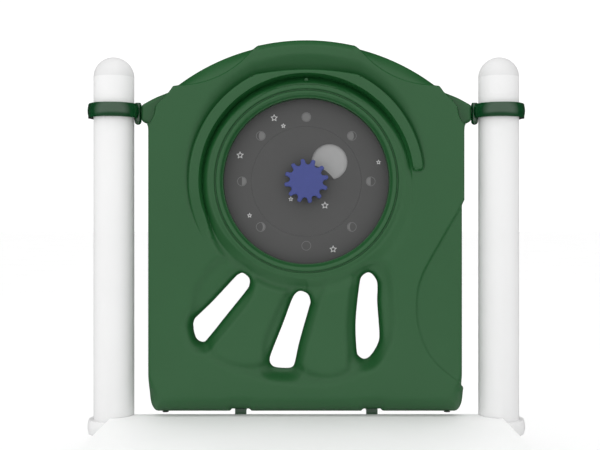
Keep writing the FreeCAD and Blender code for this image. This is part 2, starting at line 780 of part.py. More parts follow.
# Each slot is two circles joined by their outer tangents.
def slotLoop(name, grow):
    foot_x, foot = size(f"slot_{name}_foot_x"), -bowl_end - size(f"slot_{name}_foot")
    top_x, top = size(f"slot_{name}_x"), -bowl_end - size(f"slot_{name}_top")
    small, large = size(f"slot_{name}_top_radius") + grow, size(f"slot_{name}_foot_radius") + grow
    length = math.hypot(foot_x - top_x, foot - top)
    along = math.atan2(foot - top, foot_x - top_x)
    spread = math.acos((small - large) / length)

    def rim(x, v, radius, angle):
        return (x + radius * math.cos(angle), v + radius * math.sin(angle))

    return [
        rim(top_x, top, small, along + spread), ("via", *rim(top_x, top, small, along + math.pi)),
        rim(top_x, top, small, along - spread), rim(foot_x, foot, large, along - spread),
        ("via", *rim(foot_x, foot, large, along)), rim(foot_x, foot, large, along + spread),
    ]


reliefs = {
    "Lens": (lensLoop, "lens_depth"),
    "Brow": (browLoop, "brow_depth"),
    "Dish": (dishLoop, "dish_depth"),
}
slot_names = ("left", "middle", "right")
dial_bolt_turns = (90, 180, 270, 0)


def dialBoltPlaces():
    for turn in dial_bolt_turns:
        angle = math.radians(turn)
        yield size("dial_bolt_circle") * math.cos(angle), size("dial_bolt_circle") * math.sin(angle)


def faceEdges(shape, depth):
    names = []
    for number, edge in enumerate(shape.Edges, start=1):
        if all(abs(abs(corner.Y) - depth) < 0.001 for corner in edge.Vertexes):
            names.append(f"Edge{number}")
    return names


def panelOuter():
    body = newBody("PanelOuter")
    outline = newSketch(body, "XZ_Plane", "PanelOutline")
    drawLoop(outline, panelLoop(0.0))
    slab = pad(body, outline, "PanelSlab", "Dims.panel_depth")
    doc.recompute()
    edge = body.newObject("PartDesign::Fillet", "PanelEdge")
    edge.Base = (slab, faceEdges(slab.Shape, face_front))
    edge.setExpression("Radius", "Dims.panel_edge")
    body.Tip = edge

    ears = newSketch(body, "XZ_Plane", "EarOutline")
    drawLoop(ears, earLoop())
    drawLoop(ears, mirrored(earLoop()))
    pad(body, ears, "Ears", "Dims.ear_thickness")

    lip_front = -face_front - size("lip_rise")
    lip = newSketch(body, "YZ_Plane", "LipProfile")
    drawLoop(lip, [(lip_front, size("dial_radius")), (lip_front, bowl_start - 4), (-face_front, bowl_start),
                   (-face_front + 10, bowl_start), (-face_front + 10, size("dial_radius"))])
    revolve(body, lip, "Lip", axis="H_Axis")

    visor_front = -face_front - size("visor_rise")
    rounding = size("visor_rise") * 0.7
    visor = newSketch(body, "YZ_Plane", "VisorProfile")
    drawLoop(visor, [(visor_front, bowl_end + rounding), (visor_front, visor_end - rounding),
                     (visor_front + rounding, visor_end), (-face_front + 10, visor_end),
                     (-face_front + 10, bowl_end), (visor_front + rounding, bowl_end)])
    revolve(body, visor, "Visor", axis="H_Axis", angle=190.0)

    bore = newSketch(body, "YZ_Plane", "DialBore")
    back = face_front + 20
    seat = size("face_thickness") + size("moon_thickness")
    fit = size("plate_clearance")
    drawLoop(bore, [(-back, 0.0), (-back, size("dial_radius") + 9), (lip_front, size("dial_radius") + 7),
                    (lip_front + 8, size("dial_radius")), (0.0, size("dial_radius")),
                    (0.0, face_radius + fit),
                    (seat, face_radius + fit), (seat, board_radius + fit), (back, board_radius + fit),
                    (back, 0.0)])
    revolve(body, bore, "DialOpening", "Groove", "H_Axis")

    bowl = newSketch(body, "YZ_Plane", "BowlProfile")
    deep = -face_front + size("bowl_depth")
    drawLoop(bowl, [(-back, bowl_start), (-face_front + 4, bowl_start),
                    ("via", deep, bowl_start + size("bowl_width") * 0.45),
                    (-face_front + 8, bowl_end), (-back, bowl_end)])
    seam = size("dial_radius") + size("seam_offset")
    drawLoop(bowl, [(-back, seam), (-face_front + 1, seam), (-face_front + 1, seam + 3), (-back, seam + 3)])
    revolve(body, bowl, "Bowl", "Groove", "H_Axis")

    through = newSketch(body, "XZ_Plane", "ThroughCuts")
    for name in slot_names:
        drawLoop(through, slotLoop(name, 0.0))
    for x, v in dialBoltPlaces():
        drawCircle(through, "Dims.dial_bolt_radius", x, v)
    pocketThrough(body, through, "Slots")

    edges = newSketch(body, "XZ_Plane", "EdgeCuts")
    drawLoop(edges, scallopLoop())
    drawLoop(edges, mirrored(scallopLoop()))
    drawLoop(edges, sideStepLoop())
    for sign in sides.values():
        x, wide = sign * size("tab_offset"), size("notch_width") / 2
        roof = foot_v + size("notch_height")
        drawLoop(edges, [(x - wide, foot_v - 1), (x + wide, foot_v - 1), (x + wide - 7, roof),
                         (x - wide + 7, roof)])
    pocketThrough(body, edges, "EdgeSteps")

    for name, (loop, depth) in reliefs.items():
        front = "Dims.panel_depth / 2 + Dims.visor_rise"
        sketch = newSketch(body, "XZ_Plane", name + "Outline", front)
        drawLoop(sketch, loop(0.0))
        pocketInwards(body, sketch, name, f"Dims.visor_rise + Dims.{depth}")
    return body


# The hollow inside the panel: its outline less a wall, less the walls of everything cut into it.
def panelHollow():
    wall = size("panel_wall")
    body = newBody("PanelHollow")
    outline = newSketch(body, "XZ_Plane", "HollowOutline")
    drawLoop(outline, panelLoop(wall + size("side_step")))
    pad(body, outline, "HollowSlab", "Dims.panel_depth - 2 * Dims.panel_wall")

    rings = newSketch(body, "YZ_Plane", "DialWalls")
    back = face_front + 20
    seat = size("face_thickness") + size("moon_thickness")
    well = face_radius + size("plate_clearance") + wall
    cover = board_radius + size("plate_clearance") + wall
    drawLoop(rings, [(-back, 0.0), (-back, well), (seat - wall, well), (seat - wall, cover), (back, cover),
                     (back, 0.0)])
    revolve(body, rings, "DialWall", "Groove", "H_Axis")
    bowl = newSketch(body, "YZ_Plane", "BowlWalls")
    floor = -face_front + size("bowl_depth") + wall
    drawLoop(bowl, [(-back, bowl_start - wall), (floor, bowl_start - wall), (floor, bowl_end + wall),
                    (-back, bowl_end + wall)])
    revolve(body, bowl, "BowlWall", "Groove", "H_Axis")

    columns = newSketch(body, "XZ_Plane", "Columns")
    for name in slot_names:
        drawLoop(columns, slotLoop(name, wall))
    pocketThrough(body, columns, "SlotWalls")
    bosses = newSketch(body, "XZ_Plane", "Bosses")
    for x, v in dialBoltPlaces():
        drawCircle(bosses, "Dims.dial_bolt_radius + Dims.panel_wall", x, v)
    pocketThrough(body, bosses, "BoltWalls")

    for name, (loop, depth) in reliefs.items():
        sketch = newSketch(body, "XZ_Plane", name + "Wall", "Dims.panel_depth / 2")
        drawLoop(sketch, loop(wall))
        pocketInwards(body, sketch, name + "Floor", f"Dims.{depth} + Dims.panel_wall")
    return body


def makePanel():
    tools = [panelHollow()]
    ear = f"{half_bay} - Dims.knuckle_offset - Dims.knuckle_radius - Dims.ear_gap"
    clamp = "Dims.clamp_height - Dims.dial_height"
    floor = "Dims.panel_lift - Dims.dial_height"
    for sign in sides.values():
        tongue_x = f"{ear} - Dims.tongue_reach" if sign > 0 else f"-({ear})"
        tools.append(block("TongueSlot", "Dims.tongue_reach", "Dims.tongue_thickness", "Dims.tongue_height",
                           tongue_x, "-Dims.tongue_thickness / 2", f"{clamp} - Dims.tongue_height / 2"))
        for level in (-1, 1):
            tools.append(rod("HangerScrewHole", "Dims.lap_pin_radius", "Dims.ear_thickness / 2",
                             f"{signs[sign]}({ear} - Dims.tongue_reach / 2)", "0",
                             f"{clamp} + {level} * Dims.tongue_height / 4", "Y"))
        tools.append(rod("DrainHole", "Dims.drain_radius", "Dims.panel_wall + Dims.side_step",
                         f"{signs[sign]}Dims.drain_offset", "0", floor))
        tools.append(rod("TabScrewHole", "Dims.lap_pin_radius", "Dims.panel_wall + Dims.side_step",
                         f"{signs[sign]}Dims.tab_offset", "Dims.tab_thickness + Dims.tab_foot / 2",
                         f"{floor} + Dims.notch_height"))
    shell = cut("PanelShell", panelOuter(), *tools)
    place(shell, y=half_bay, z="Dims.deck_height + Dims.dial_height")
    return finish(shell, "panel_shell")


# ---------------------------------------------------------------- dial
dial_z = "Dims.deck_height + Dims.dial_height"
window_turn = math.radians(size("window_angle"))
window_x = size("window_offset") * math.cos(window_turn)
window_v = size("window_offset") * math.sin(window_turn)


def dialPlace(item, back):
    return place(item, "0", f"{half_bay} + {back}", dial_z)


# A round plate about the dial axis; circles lists (radius, x, v) and the first is its edge.
def roundPlate(name, thickness, circles):
    body = newBody(name)
    sketch = newSketch(body, "XZ_Plane", name + "Outline")
    for radius, x, v in circles:
        drawCircle(sketch, radius, x, v)
    pad(body, sketch, name + "Pad", thickness)
    return body


def driveScrewPlaces():
    for turn in (30, 150, 270):
        angle = math.radians(turn)
        yield size("drive_screw_circle") * math.cos(angle), size("drive_screw_circle") * math.sin(angle)


def makePlates():
    screws = [("Dims.drive_screw_radius", x, v) for x, v in driveScrewPlaces()]
    bolts = [("Dims.dial_bolt_radius", x, v) for x, v in dialBoltPlaces()]
    axle_hole = ("Dims.axle_radius", 0.0, 0.0)
    face = roundPlate("FacePlate", "Dims.face_thickness",
                      [("Dims.dial_radius + Dims.face_overlap", 0.0, 0.0),
                       ("Dims.rotor_radius + Dims.rotor_gap", 0.0, 0.0)])
    finish(dialPlace(face, "Dims.face_thickness / 2"), "dial_face_plate")
    rotor = roundPlate("Rotor", "Dims.face_thickness - 2 * Dims.rotor_float",
                       [("Dims.rotor_radius", 0.0, 0.0), axle_hole,
                        ("Dims.window_radius", window_x, window_v)] + screws)
    finish(dialPlace(rotor, "Dims.face_thickness / 2"), "rotor_disc")
    moon = roundPlate("MoonPlate", "Dims.moon_thickness",
                      [("Dims.dial_radius + Dims.face_overlap", 0.0, 0.0), ("Dims.bushing_radius", 0.0, 0.0)])
    dialPlace(moon, "Dims.face_thickness + Dims.moon_thickness / 2")
    seat = roundPlate("ShadowSeat", "Dims.shadow_thickness * 2",
                      [("Dims.shadow_radius", 0.0, -size("shadow_drop"))])
    dialPlace(seat, "Dims.face_thickness")
    finish(cut("MoonPlateCut", moon, seat), "moon_plate")
    shadow = roundPlate("Shadow", "Dims.shadow_thickness",
                        [("Dims.shadow_radius", 0.0, -size("shadow_drop")),
                         ("Dims.bushing_radius", 0.0, 0.0)])
    finish(dialPlace(shadow, "Dims.face_thickness + Dims.shadow_thickness / 2"), "moon_shadow_inlay")
    board = roundPlate("Board", "Dims.board_thickness",
                       [("Dims.dial_radius + Dims.board_overlap", 0.0, 0.0),
                        ("Dims.bushing_radius", 0.0, 0.0)] + bolts)
    middle = "Dims.face_thickness + Dims.moon_thickness + Dims.board_thickness / 2"
    finish(dialPlace(board, middle), "dial_back_board")


# Round root with finger-shaped teeth.
def makeKnob():
    body = newBody("Knob")
    core = newSketch(body, "XZ_Plane", "KnobCore")
    drawCircle(core, "Dims.knob_root")
    pad(body, core, "KnobCorePad", "Dims.knob_thickness")
    finger = newSketch(body, "XZ_Plane", "KnobTooth")
    half = size("knob_tooth_width") / 2
    inner = size("knob_root") / 2
    reach = size("knob_tip") - half
    turn = math.radians(size("knob_tilt"))

    def swing(x, v):
        return (x * math.cos(turn) - v * math.sin(turn), x * math.sin(turn) + v * math.cos(turn))

    drawLoop(finger, [swing(inner, -half), swing(reach, -half), ("via", *swing(reach + half, 0.0)),
                      swing(reach, half), swing(inner, half)])
    tooth = pad(body, finger, "KnobToothPad", "Dims.knob_thickness")
    doc.recompute()
    ring = body.newObject("PartDesign::PolarPattern", "KnobTeeth")
    ring.Originals = [tooth]
    ring.Axis = (core, ["N_Axis"])
    ring.Angle = 360.0
    ring.Occurrences = 12
    body.Tip = ring
    back = "Dims.knob_thickness / 2"
    holes = [rod("KnobBore", "Dims.axle_radius", "Dims.axle_grip", "0", f"{back} - Dims.axle_grip", "0", "Y")]
    grip = "Dims.drive_screw_grip"
    for x, v in driveScrewPlaces():
        holes.append(rod("KnobScrewHole", "Dims.drive_screw_radius", grip,
                         str(x), f"{back} - {grip}", str(v), "Y"))
    knob = cut("KnobCut", body, *holes)
    finish(dialPlace(knob, "-Dims.spacer_length - Dims.knob_thickness / 2"), "knob")


def makeSpacer():
    screws = [("Dims.drive_screw_radius", x, v) for x, v in driveScrewPlaces()]
    spacer = roundPlate("Spacer", "Dims.spacer_length + Dims.rotor_float",
                        [("Dims.spacer_radius", 0.0, 0.0), ("Dims.axle_radius", 0.0, 0.0)] + screws)
    finish(dialPlace(spacer, "(Dims.rotor_float - Dims.spacer_length) / 2"), "knob_spacer")


board_back = "(Dims.face_thickness + Dims.moon_thickness + Dims.board_thickness)"
flange_back = f"({board_back} + Dims.flange_thickness)"
washer_front = f"({flange_back} + Dims.thrust_gap)"
nut_front = f"({washer_front} + Dims.washer_thickness)"


def axleRod(name, radius, length, front, x="0", v="0"):
    return rod(name, radius, length, x, f"{half_bay} + {front}", f"{dial_z} + {v}", "Y")


def makeAxle():
    front = "-(Dims.spacer_length + Dims.axle_grip)"
    length = f"Dims.spacer_length + Dims.axle_grip + {nut_front} + Dims.axle_nut_height + 2"
    finish(axleRod("Axle", "Dims.axle_radius", length, front), "axle_stud")
    sleeve = axleRod("BushingSleeve", "Dims.bushing_radius", f"{board_back} - Dims.face_thickness",
                     "Dims.face_thickness")
    flange = axleRod("BushingFlange", "Dims.bushing_flange", "Dims.flange_thickness", board_back)
    bore = axleRod("BushingBore", "Dims.axle_radius + Dims.axle_clearance",
                   f"{flange_back} - Dims.face_thickness", "Dims.face_thickness")
    finish(cut("Bushing", fuse("BushingBody", sleeve, flange), bore), "axle_bushing")
    disc = axleRod("WasherDisc", "Dims.washer_radius", "Dims.washer_thickness", washer_front)
    hole = axleRod("WasherHole", "Dims.axle_radius", "Dims.washer_thickness", washer_front)
    finish(cut("Washer", disc, hole), "axle_washer")
    prism = doc.addObject("Part::Prism", "NutPrism")
    prism.Placement = FreeCAD.Placement(Vector(), turns["Y"])
    bind(prism, {"Circumradius": "Dims.axle_nut_width / sqrt(3)", "Height": "Dims.axle_nut_height"})
    dialPlace(prism, nut_front)
    thread = axleRod("NutBore", "Dims.axle_radius", "Dims.axle_nut_height", nut_front)
    finish(cut("AxleNut", prism, thread), "axle_nut")


# Three screws from behind the rotor carry its turn to the spacer and the knob.
def makeDriveScrews():
    rotor_back = "(Dims.face_thickness - Dims.rotor_float)"
    reach = "(Dims.drive_screw_grip + Dims.spacer_length)"
    screws = []
    for x, v in driveScrewPlaces():
        screws.append(axleRod("DriveScrew", "Dims.drive_screw_radius", f"{reach} + {rotor_back}",
                              f"-{reach}", str(x), str(v)))
    finish(group("DriveScrews", screws), "drive_screws")


def makeDialBolts():
    seat = size("panel_depth") / 2 - size("bowl_depth") + 1.5
    bolts, nuts = [], []
    for x, v in dialBoltPlaces():
        shank = axleRod("DialBoltShank", "Dims.dial_bolt_radius", f"{seat} + {board_back} + 6",
                        f"-{seat}", str(x), str(v))
        head = axleRod("DialBoltHead", "Dims.dial_bolt_head", "Dims.dial_bolt_head_height",
                       f"-{seat} - Dims.dial_bolt_head_height", str(x), str(v))
        bolts.append(fuse("DialBolt", shank, head))
        disc = axleRod("DialNutDisc", "Dims.dial_bolt_radius * 2", "5", board_back, str(x), str(v))
        bore = axleRod("DialNutBore", "Dims.dial_bolt_radius", "5", board_back, str(x), str(v))
        nuts.append(cut("DialNut", disc, bore))
    finish(group("DialBolts", bolts), "dial_bolts")
    finish(group("DialNuts", nuts), "dial_bolt_nuts")


# ---------------------------------------------------------------- dial markings
# A star is a thin five-pointed outline. The face's marks lie in the band from the rotor's edge to
# the dial's edge: a star is (turn, way across the band, reach), the last two as shares of the band.
band_start = size("rotor_radius") + size("rotor_gap")
band = size("dial_radius") - band_start
star_pinch = 0.42
star_line = 0.62
face_stars = [(116.9, 0.585, 0.146), (112.5, 0.178, 0.1), (158.4, 0.59, 0.146), (14.9, 0.72, 0.1),
              (211.0, 0.404, 0.1), (291.6, 0.652, 0.146)]
rotor_stars = [(59.0, -76.0, 12.5), (-49.0, -56.0, 8.5)]
phase_circle = band_start + 0.335 * band
phase_radius = 0.175 * band
phase_line = 1.6


def starFace(x, v, reach):
    corners_out = []
    for number in range(11):
        angle = math.radians(90 + 36 * number)
        radius = reach if number % 2 == 0 else reach * star_pinch
        corners_out.append(Vector(x + radius * math.cos(angle), 0, v + radius * math.sin(angle)))
    return Part.Face(Part.makePolygon(corners_out))


def hollowStar(x, v, reach):
    return starFace(x, v, reach).cut(starFace(x, v, reach * star_line))


def bandStar(turn, across, reach):
    angle = math.radians(turn)
    radius = band_start + across * band
    return hollowStar(radius * math.cos(angle), radius * math.sin(angle), reach * band)


def discFace(x, v, radius):
    ring = Part.Circle(Vector(x, 0, v), Vector(0, -1, 0), radius).toShape()
    return Part.Face(Part.Wire([ring]))


# A phase sign is a ring with its lit part filled: phase 0 is new, 4 is full, 8 is new again.
def phaseSign(x, v, phase):
    ring = discFace(x, v, phase_radius).cut(discFace(x, v, phase_radius - phase_line))
    if phase == 0:
        return [ring]
    disc = discFace(x, v, phase_radius)
    if phase == 4:
        return [disc]
    lit_right = phase < 4
    lit_side = 1 if lit_right else -1
    quarter = phase if lit_right else 8 - phase
    shift = {1: -0.75, 2: 0.0, 3: 0.75}[quarter] * phase_radius
    if quarter == 2:
        start = x if lit_right else x - phase_radius
        half = Part.makePlane(phase_radius, 2 * phase_radius, Vector(start, 0, v - phase_radius),
                              Vector(0, -1, 0), Vector(1, 0, 0))
        return [ring.fuse(disc.common(half)).removeSplitter()]
    shade = discFace(x + lit_side * shift, v, phase_radius)
    lit = disc.cut(shade) if quarter == 1 else disc.common(shade)
    return [ring.fuse(lit).removeSplitter()]


def raised(name, node, faces, back):
    solids = []
    for face in faces:
        solids += face.extrude(Vector(0, -size("mark_height"), 0)).Solids
    marks = doc.addObject("Part::Feature", name)
    marks.Shape = Part.makeCompound(solids)
    dialPlace(marks, back)
    return finish(marks, node)


def makeMarkings():
    faces = [bandStar(*star) for star in face_stars]
    for phase in range(8):
        angle = math.radians(270 - 45 * phase)
        faces += phaseSign(phase_circle * math.cos(angle), phase_circle * math.sin(angle), phase)
    raised("FaceMarks", "dial_markings", faces, "0")
    raised("RotorMarks", "rotor_stars", [hollowStar(*star) for star in rotor_stars], "Dims.rotor_float")


# ---------------------------------------------------------------- panel's feet and drains
def makeTabs():
    width, thick = "Dims.tab_width", "Dims.tab_thickness"
    roof = "Dims.deck_height + Dims.panel_lift + Dims.notch_height"
    for side, sign in sides.items():
        x = f"{signs[sign]}Dims.tab_offset"
        low = f"{rim_top} - Dims.tab_drop"
        leg = block("TabLeg", width, thick, f"{roof} - ({low})", f"{x} - {width} / 2", half_bay, low)
        foot = block("TabFoot", width, "Dims.tab_foot", thick,
                     f"{x} - {width} / 2", f"{half_bay} + {thick}", f"{roof} - {thick}")
        bolt_hole = rod("TabBoltHole", "Dims.tab_bolt_radius", thick, x, half_bay, rim_middle, "Y")
        screw_hole = rod("TabScrewHole", "Dims.lap_pin_radius", thick, x,
                         f"{half_bay} + {thick} + Dims.tab_foot / 2", f"{roof} - {thick}")
        finish(cut("Tab", fuse("TabWhole", leg, foot), bolt_hole, screw_hole), f"panel_foot_{side}")


def makeTabHardware():
    bolts, screws, plugs = [], [], []
    thick = "Dims.tab_thickness"
    roof = "Dims.deck_height + Dims.panel_lift + Dims.notch_height"
    radius = "Dims.tab_bolt_radius"
    for sign in sides.values():
        x = f"{signs[sign]}Dims.tab_offset"
        start = f"{half_bay} - Dims.rim_thickness"
        shank = rod("FootBoltShank", radius, f"Dims.rim_thickness + {thick} + 1.2 * {radius}",
                    x, start, rim_middle, "Y")
        head = rod("FootBoltHead", f"1.8 * {radius}", f"0.8 * {radius}",
                   x, f"{start} - 0.8 * {radius}", rim_middle, "Y")
        nut = rod("FootNut", f"1.7 * {radius}", radius, x, f"{half_bay} + {thick}", rim_middle, "Y")
        bolts.append(fuse("FootBolt", shank, head, nut))
        y = f"{half_bay} + {thick} + Dims.tab_foot / 2"
        shaft = rod("FootScrewShank", "Dims.lap_pin_radius", f"{thick} + Dims.panel_wall + Dims.side_step",
                    x, y, f"{roof} - {thick}")
        cap = rod("FootScrewHead", "1.8 * Dims.lap_pin_radius", "0.7 * Dims.lap_pin_radius",
                  x, y, f"{roof} - {thick} - 0.7 * Dims.lap_pin_radius")
        screws.append(fuse("FootScrew", shaft, cap))
        drain_x = f"{signs[sign]}Dims.drain_offset"
        floor = "Dims.deck_height + Dims.panel_lift"
        stem = rod("PlugStem", "Dims.drain_radius", "Dims.panel_wall", drain_x, half_bay, floor)
        flange = rod("PlugFlange", "1.6 * Dims.drain_radius", "Dims.drain_radius / 3",
                     drain_x, half_bay, f"{floor} - Dims.drain_radius / 3")
        plugs.append(fuse("DrainPlug", stem, flange))
    finish(group("FootBolts", bolts), "foot_bolts")
    finish(group("FootScrews", screws), "foot_screws")
    finish(group("DrainPlugs", plugs), "drain_plugs")


for corner in corners:
    makePost(corner)
    makeCap(corner)
    makeBasePlate(corner)
makeCapRivets()
makeDeckPlate()
makeRims()
makeJoists()
makeCollars()
makeClamps()
makeHangers()
makeClampHardware()
makePanel()
makePlates()
makeKnob()
makeSpacer()
makeAxle()
makeDriveScrews()
makeDialBolts()
makeMarkings()
makeTabs()
makeTabHardware()
doc.recompute()

for item in doc.Objects:
    faults = [state for state in item.State if state in ("Invalid", "Error")]
    if faults:
        raise RuntimeError(f"{item.Name} ({item.Label}) is {faults}")
for item in parts:
    if item.Shape.isNull() or not item.Shape.isValid() or not item.Shape.Solids:
        raise RuntimeError(f"{item.Label} has no valid solid")

os.makedirs("parts", exist_ok=True)
for item in parts:
    item.Shape.exportStep(f"parts/{item.Label}.step")
print(len(parts), "sub-parts written")
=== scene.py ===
import math

import bpy
import numpy as np
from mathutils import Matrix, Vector
from mathutils.geometry import delaunay_2d_cdt


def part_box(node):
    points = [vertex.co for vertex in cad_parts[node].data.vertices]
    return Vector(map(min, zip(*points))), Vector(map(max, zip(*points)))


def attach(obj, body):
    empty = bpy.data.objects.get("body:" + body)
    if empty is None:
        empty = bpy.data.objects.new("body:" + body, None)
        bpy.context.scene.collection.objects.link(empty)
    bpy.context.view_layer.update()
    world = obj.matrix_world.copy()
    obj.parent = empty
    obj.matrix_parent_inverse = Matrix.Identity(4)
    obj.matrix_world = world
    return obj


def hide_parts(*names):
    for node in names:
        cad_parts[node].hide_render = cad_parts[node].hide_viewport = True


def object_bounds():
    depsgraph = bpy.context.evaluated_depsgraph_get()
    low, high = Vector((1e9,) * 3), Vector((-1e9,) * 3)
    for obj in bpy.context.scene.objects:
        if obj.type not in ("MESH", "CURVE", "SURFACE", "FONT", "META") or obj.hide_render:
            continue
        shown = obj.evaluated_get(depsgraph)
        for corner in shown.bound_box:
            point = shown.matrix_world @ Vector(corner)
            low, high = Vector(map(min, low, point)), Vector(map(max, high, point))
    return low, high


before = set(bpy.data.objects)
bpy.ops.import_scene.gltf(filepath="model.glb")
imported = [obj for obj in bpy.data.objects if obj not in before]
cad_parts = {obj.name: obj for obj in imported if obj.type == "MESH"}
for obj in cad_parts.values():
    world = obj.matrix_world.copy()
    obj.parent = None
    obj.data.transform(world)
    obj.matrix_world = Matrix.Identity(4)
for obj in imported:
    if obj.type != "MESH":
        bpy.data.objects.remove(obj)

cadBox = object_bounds()
mm = 0.001
ringCount = 360     # points round each of the dial's circles

# Moon-phase play panel between two posts, behind a small deck. Panel work is in millimetres about
# the dial's axis: x across, v up, y into the panel; the viewer is on the -y side.
faceLow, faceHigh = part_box("dial_face_plate")
shellLow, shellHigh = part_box("panel_shell")
axisX = (faceLow[0] + faceHigh[0]) / 2
axisZ = (faceLow[2] + faceHigh[2]) / 2
midY = (shellLow[1] + shellHigh[1]) / 2 + 5 * mm     # the visor stands 10 mm proud of one side only


# sRGB hex to linear RGBA
def hexColour(code):
    channels = [int(code[i:i + 2], 16) / 255 for i in (1, 3, 5)]
    return tuple(c / 12.92 if c <= 0.04045 else ((c + 0.055) / 1.055) ** 2.4 for c in channels) + (1.0,)


# 0 up to low, 1 from high, eased at both ends
def ease(low, high, value):
    t = np.clip((value - low) / (high - low), 0.0, 1.0)
    return t * t * (3.0 - 2.0 * t)


# Panel millimetres to metres in the frame
def panelPoints(x, y, v):
    return np.column_stack((axisX + x * mm, midY + y * mm, axisZ + v * mm))


# Quads between the rows of a grid of vertex numbers; closed joins the last column to the first
def gridQuads(rows, closed=True):
    after = np.roll(rows, -1, axis=1) if closed else rows[:, 1:]
    here = rows if closed else rows[:, :-1]
    corners = (here[:-1], after[:-1], after[1:], here[1:])
    return np.stack([c.ravel() for c in corners], axis=1)


# Mesh object from points in metres and a list of faces; edges steeper than the angle stay crisp
def makePiece(name, points, faces, body, material, replaced=(), sharp=40):
    mesh = bpy.data.meshes.new(name)
    mesh.from_pydata(points.tolist(), [], faces)
    mesh.validate()
    mesh.polygons.foreach_set("use_smooth", [True] * len(mesh.polygons))
    mesh.set_sharp_from_angle(angle=math.radians(sharp))
    mesh.materials.append(material)
    piece = bpy.data.objects.new(name, mesh)
    bpy.context.scene.collection.objects.link(piece)
    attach(piece, body)
    if replaced:
        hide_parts(*replaced)
    return piece


# Catmull-Rom curve through a few given points
def smoothCurve(points, steps, closed=False):
    p = np.array(points, float)
    if closed:
        p = np.vstack((p[-1:], p, p[:2]))
    else:
        p = np.vstack((2 * p[0] - p[1], p, 2 * p[-1] - p[-2]))
    t = np.linspace(0, 1, steps, endpoint=False)[None, :, None]
    a, b, c, d = p[:-3, None], p[1:-2, None], p[2:-1, None], p[3:, None]
    curve = 0.5 * (2 * b + (c - a) * t + (2 * a - 5 * b + 4 * c - d) * t ** 2
                   + (3 * b - a - 3 * c + d) * t ** 3)
    curve = curve.reshape(-1, 2)
    return curve if closed else np.vstack((curve, p[-2]))


# Even spacing along a curve
def respaced(curve, spacing, closed=True):
    line = np.vstack((curve, curve[:1])) if closed else curve
    run = np.concatenate(([0], np.cumsum(np.hypot(*np.diff(line, axis=0).T))))
    count = max(int(round(run[-1] / spacing)), 8)
    at = np.linspace(0, run[-1], count, endpoint=not closed)
    return np.column_stack((np.interp(at, run, line[:, 0]), np.interp(at, run, line[:, 1])))


# Distance from points to a closed loop, positive inside
def loopDepth(points, loop):
    a, b = loop, np.roll(loop, -1, axis=0)
    span = b - a
    batch = 300
    depth = np.empty(len(points))
    for first in range(0, len(points), batch):
        p = points[first:first + batch, None, :]
        t = np.clip(((p - a) * span).sum(2) / np.maximum((span ** 2).sum(1), 1e-9), 0, 1)
        gap = np.hypot(*np.moveaxis(p - a - t[..., None] * span, 2, 0)).min(axis=1)
        crosses = (a[:, 1] > p[..., 1]) != (b[:, 1] > p[..., 1])
        rise = np.where(np.abs(span[:, 1]) < 1e-9, 1e-9, span[:, 1])
        left = p[..., 0] < a[:, 0] + (p[..., 1] - a[:, 1]) * span[:, 0] / rise
        inside = (crosses & left).sum(axis=1) % 2 == 1
        depth[first:first + batch] = np.where(inside, gap, -gap)
    return depth


# The same distance within a margin of the loop's box, and one far value outside it
def nearDepth(points, loop, margin, far):
    depth = np.full(len(points), far)
    low, high = loop.min(axis=0) - margin, loop.max(axis=0) + margin
    inside = ((points > low) & (points < high)).all(axis=1)
    if inside.any():
        depth[inside] = loopDepth(points[inside], loop)
    return depth


# The same loop moved inwards (to the left of its run) by a distance
def shifted(loop, distance):
    run = np.roll(loop, -1, axis=0) - np.roll(loop, 1, axis=0)
    run /= np.maximum(np.hypot(*run.T), 1e-9)[:, None]
    return loop + distance * np.column_stack((-run[:, 1], run[:, 0]))


# Points round a circle about the dial's axis
def circlePoints(radius, count):
    turn = np.linspace(0, 2 * np.pi, count, endpoint=False)
    return np.column_stack((radius * np.cos(turn), radius * np.sin(turn)))


# Centre and radius of the circle through three points
def circleThrough(p, q, r):
    m = 2 * np.array([[q[0] - p[0], q[1] - p[1]], [r[0] - p[0], r[1] - p[1]]])
    k = [q[0] ** 2 + q[1] ** 2 - p[0] ** 2 - p[1] ** 2, r[0] ** 2 + r[1] ** 2 - p[0] ** 2 - p[1] ** 2]
    centre = np.linalg.solve(m, k)
    return centre, math.hypot(p[0] - centre[0], p[1] - centre[1])


# Adds one node, sets its values and links its inputs
def addNode(tree, kind, values=None, links=None, **settings):
    node = tree.nodes.new(kind)
    for name, value in settings.items():
        setattr(node, name, value)
    for name, value in (values or {}).items():
        node.inputs[name].default_value = value
    for name, source in (links or {}).items():
        tree.links.new(source, node.inputs[name])
    return node


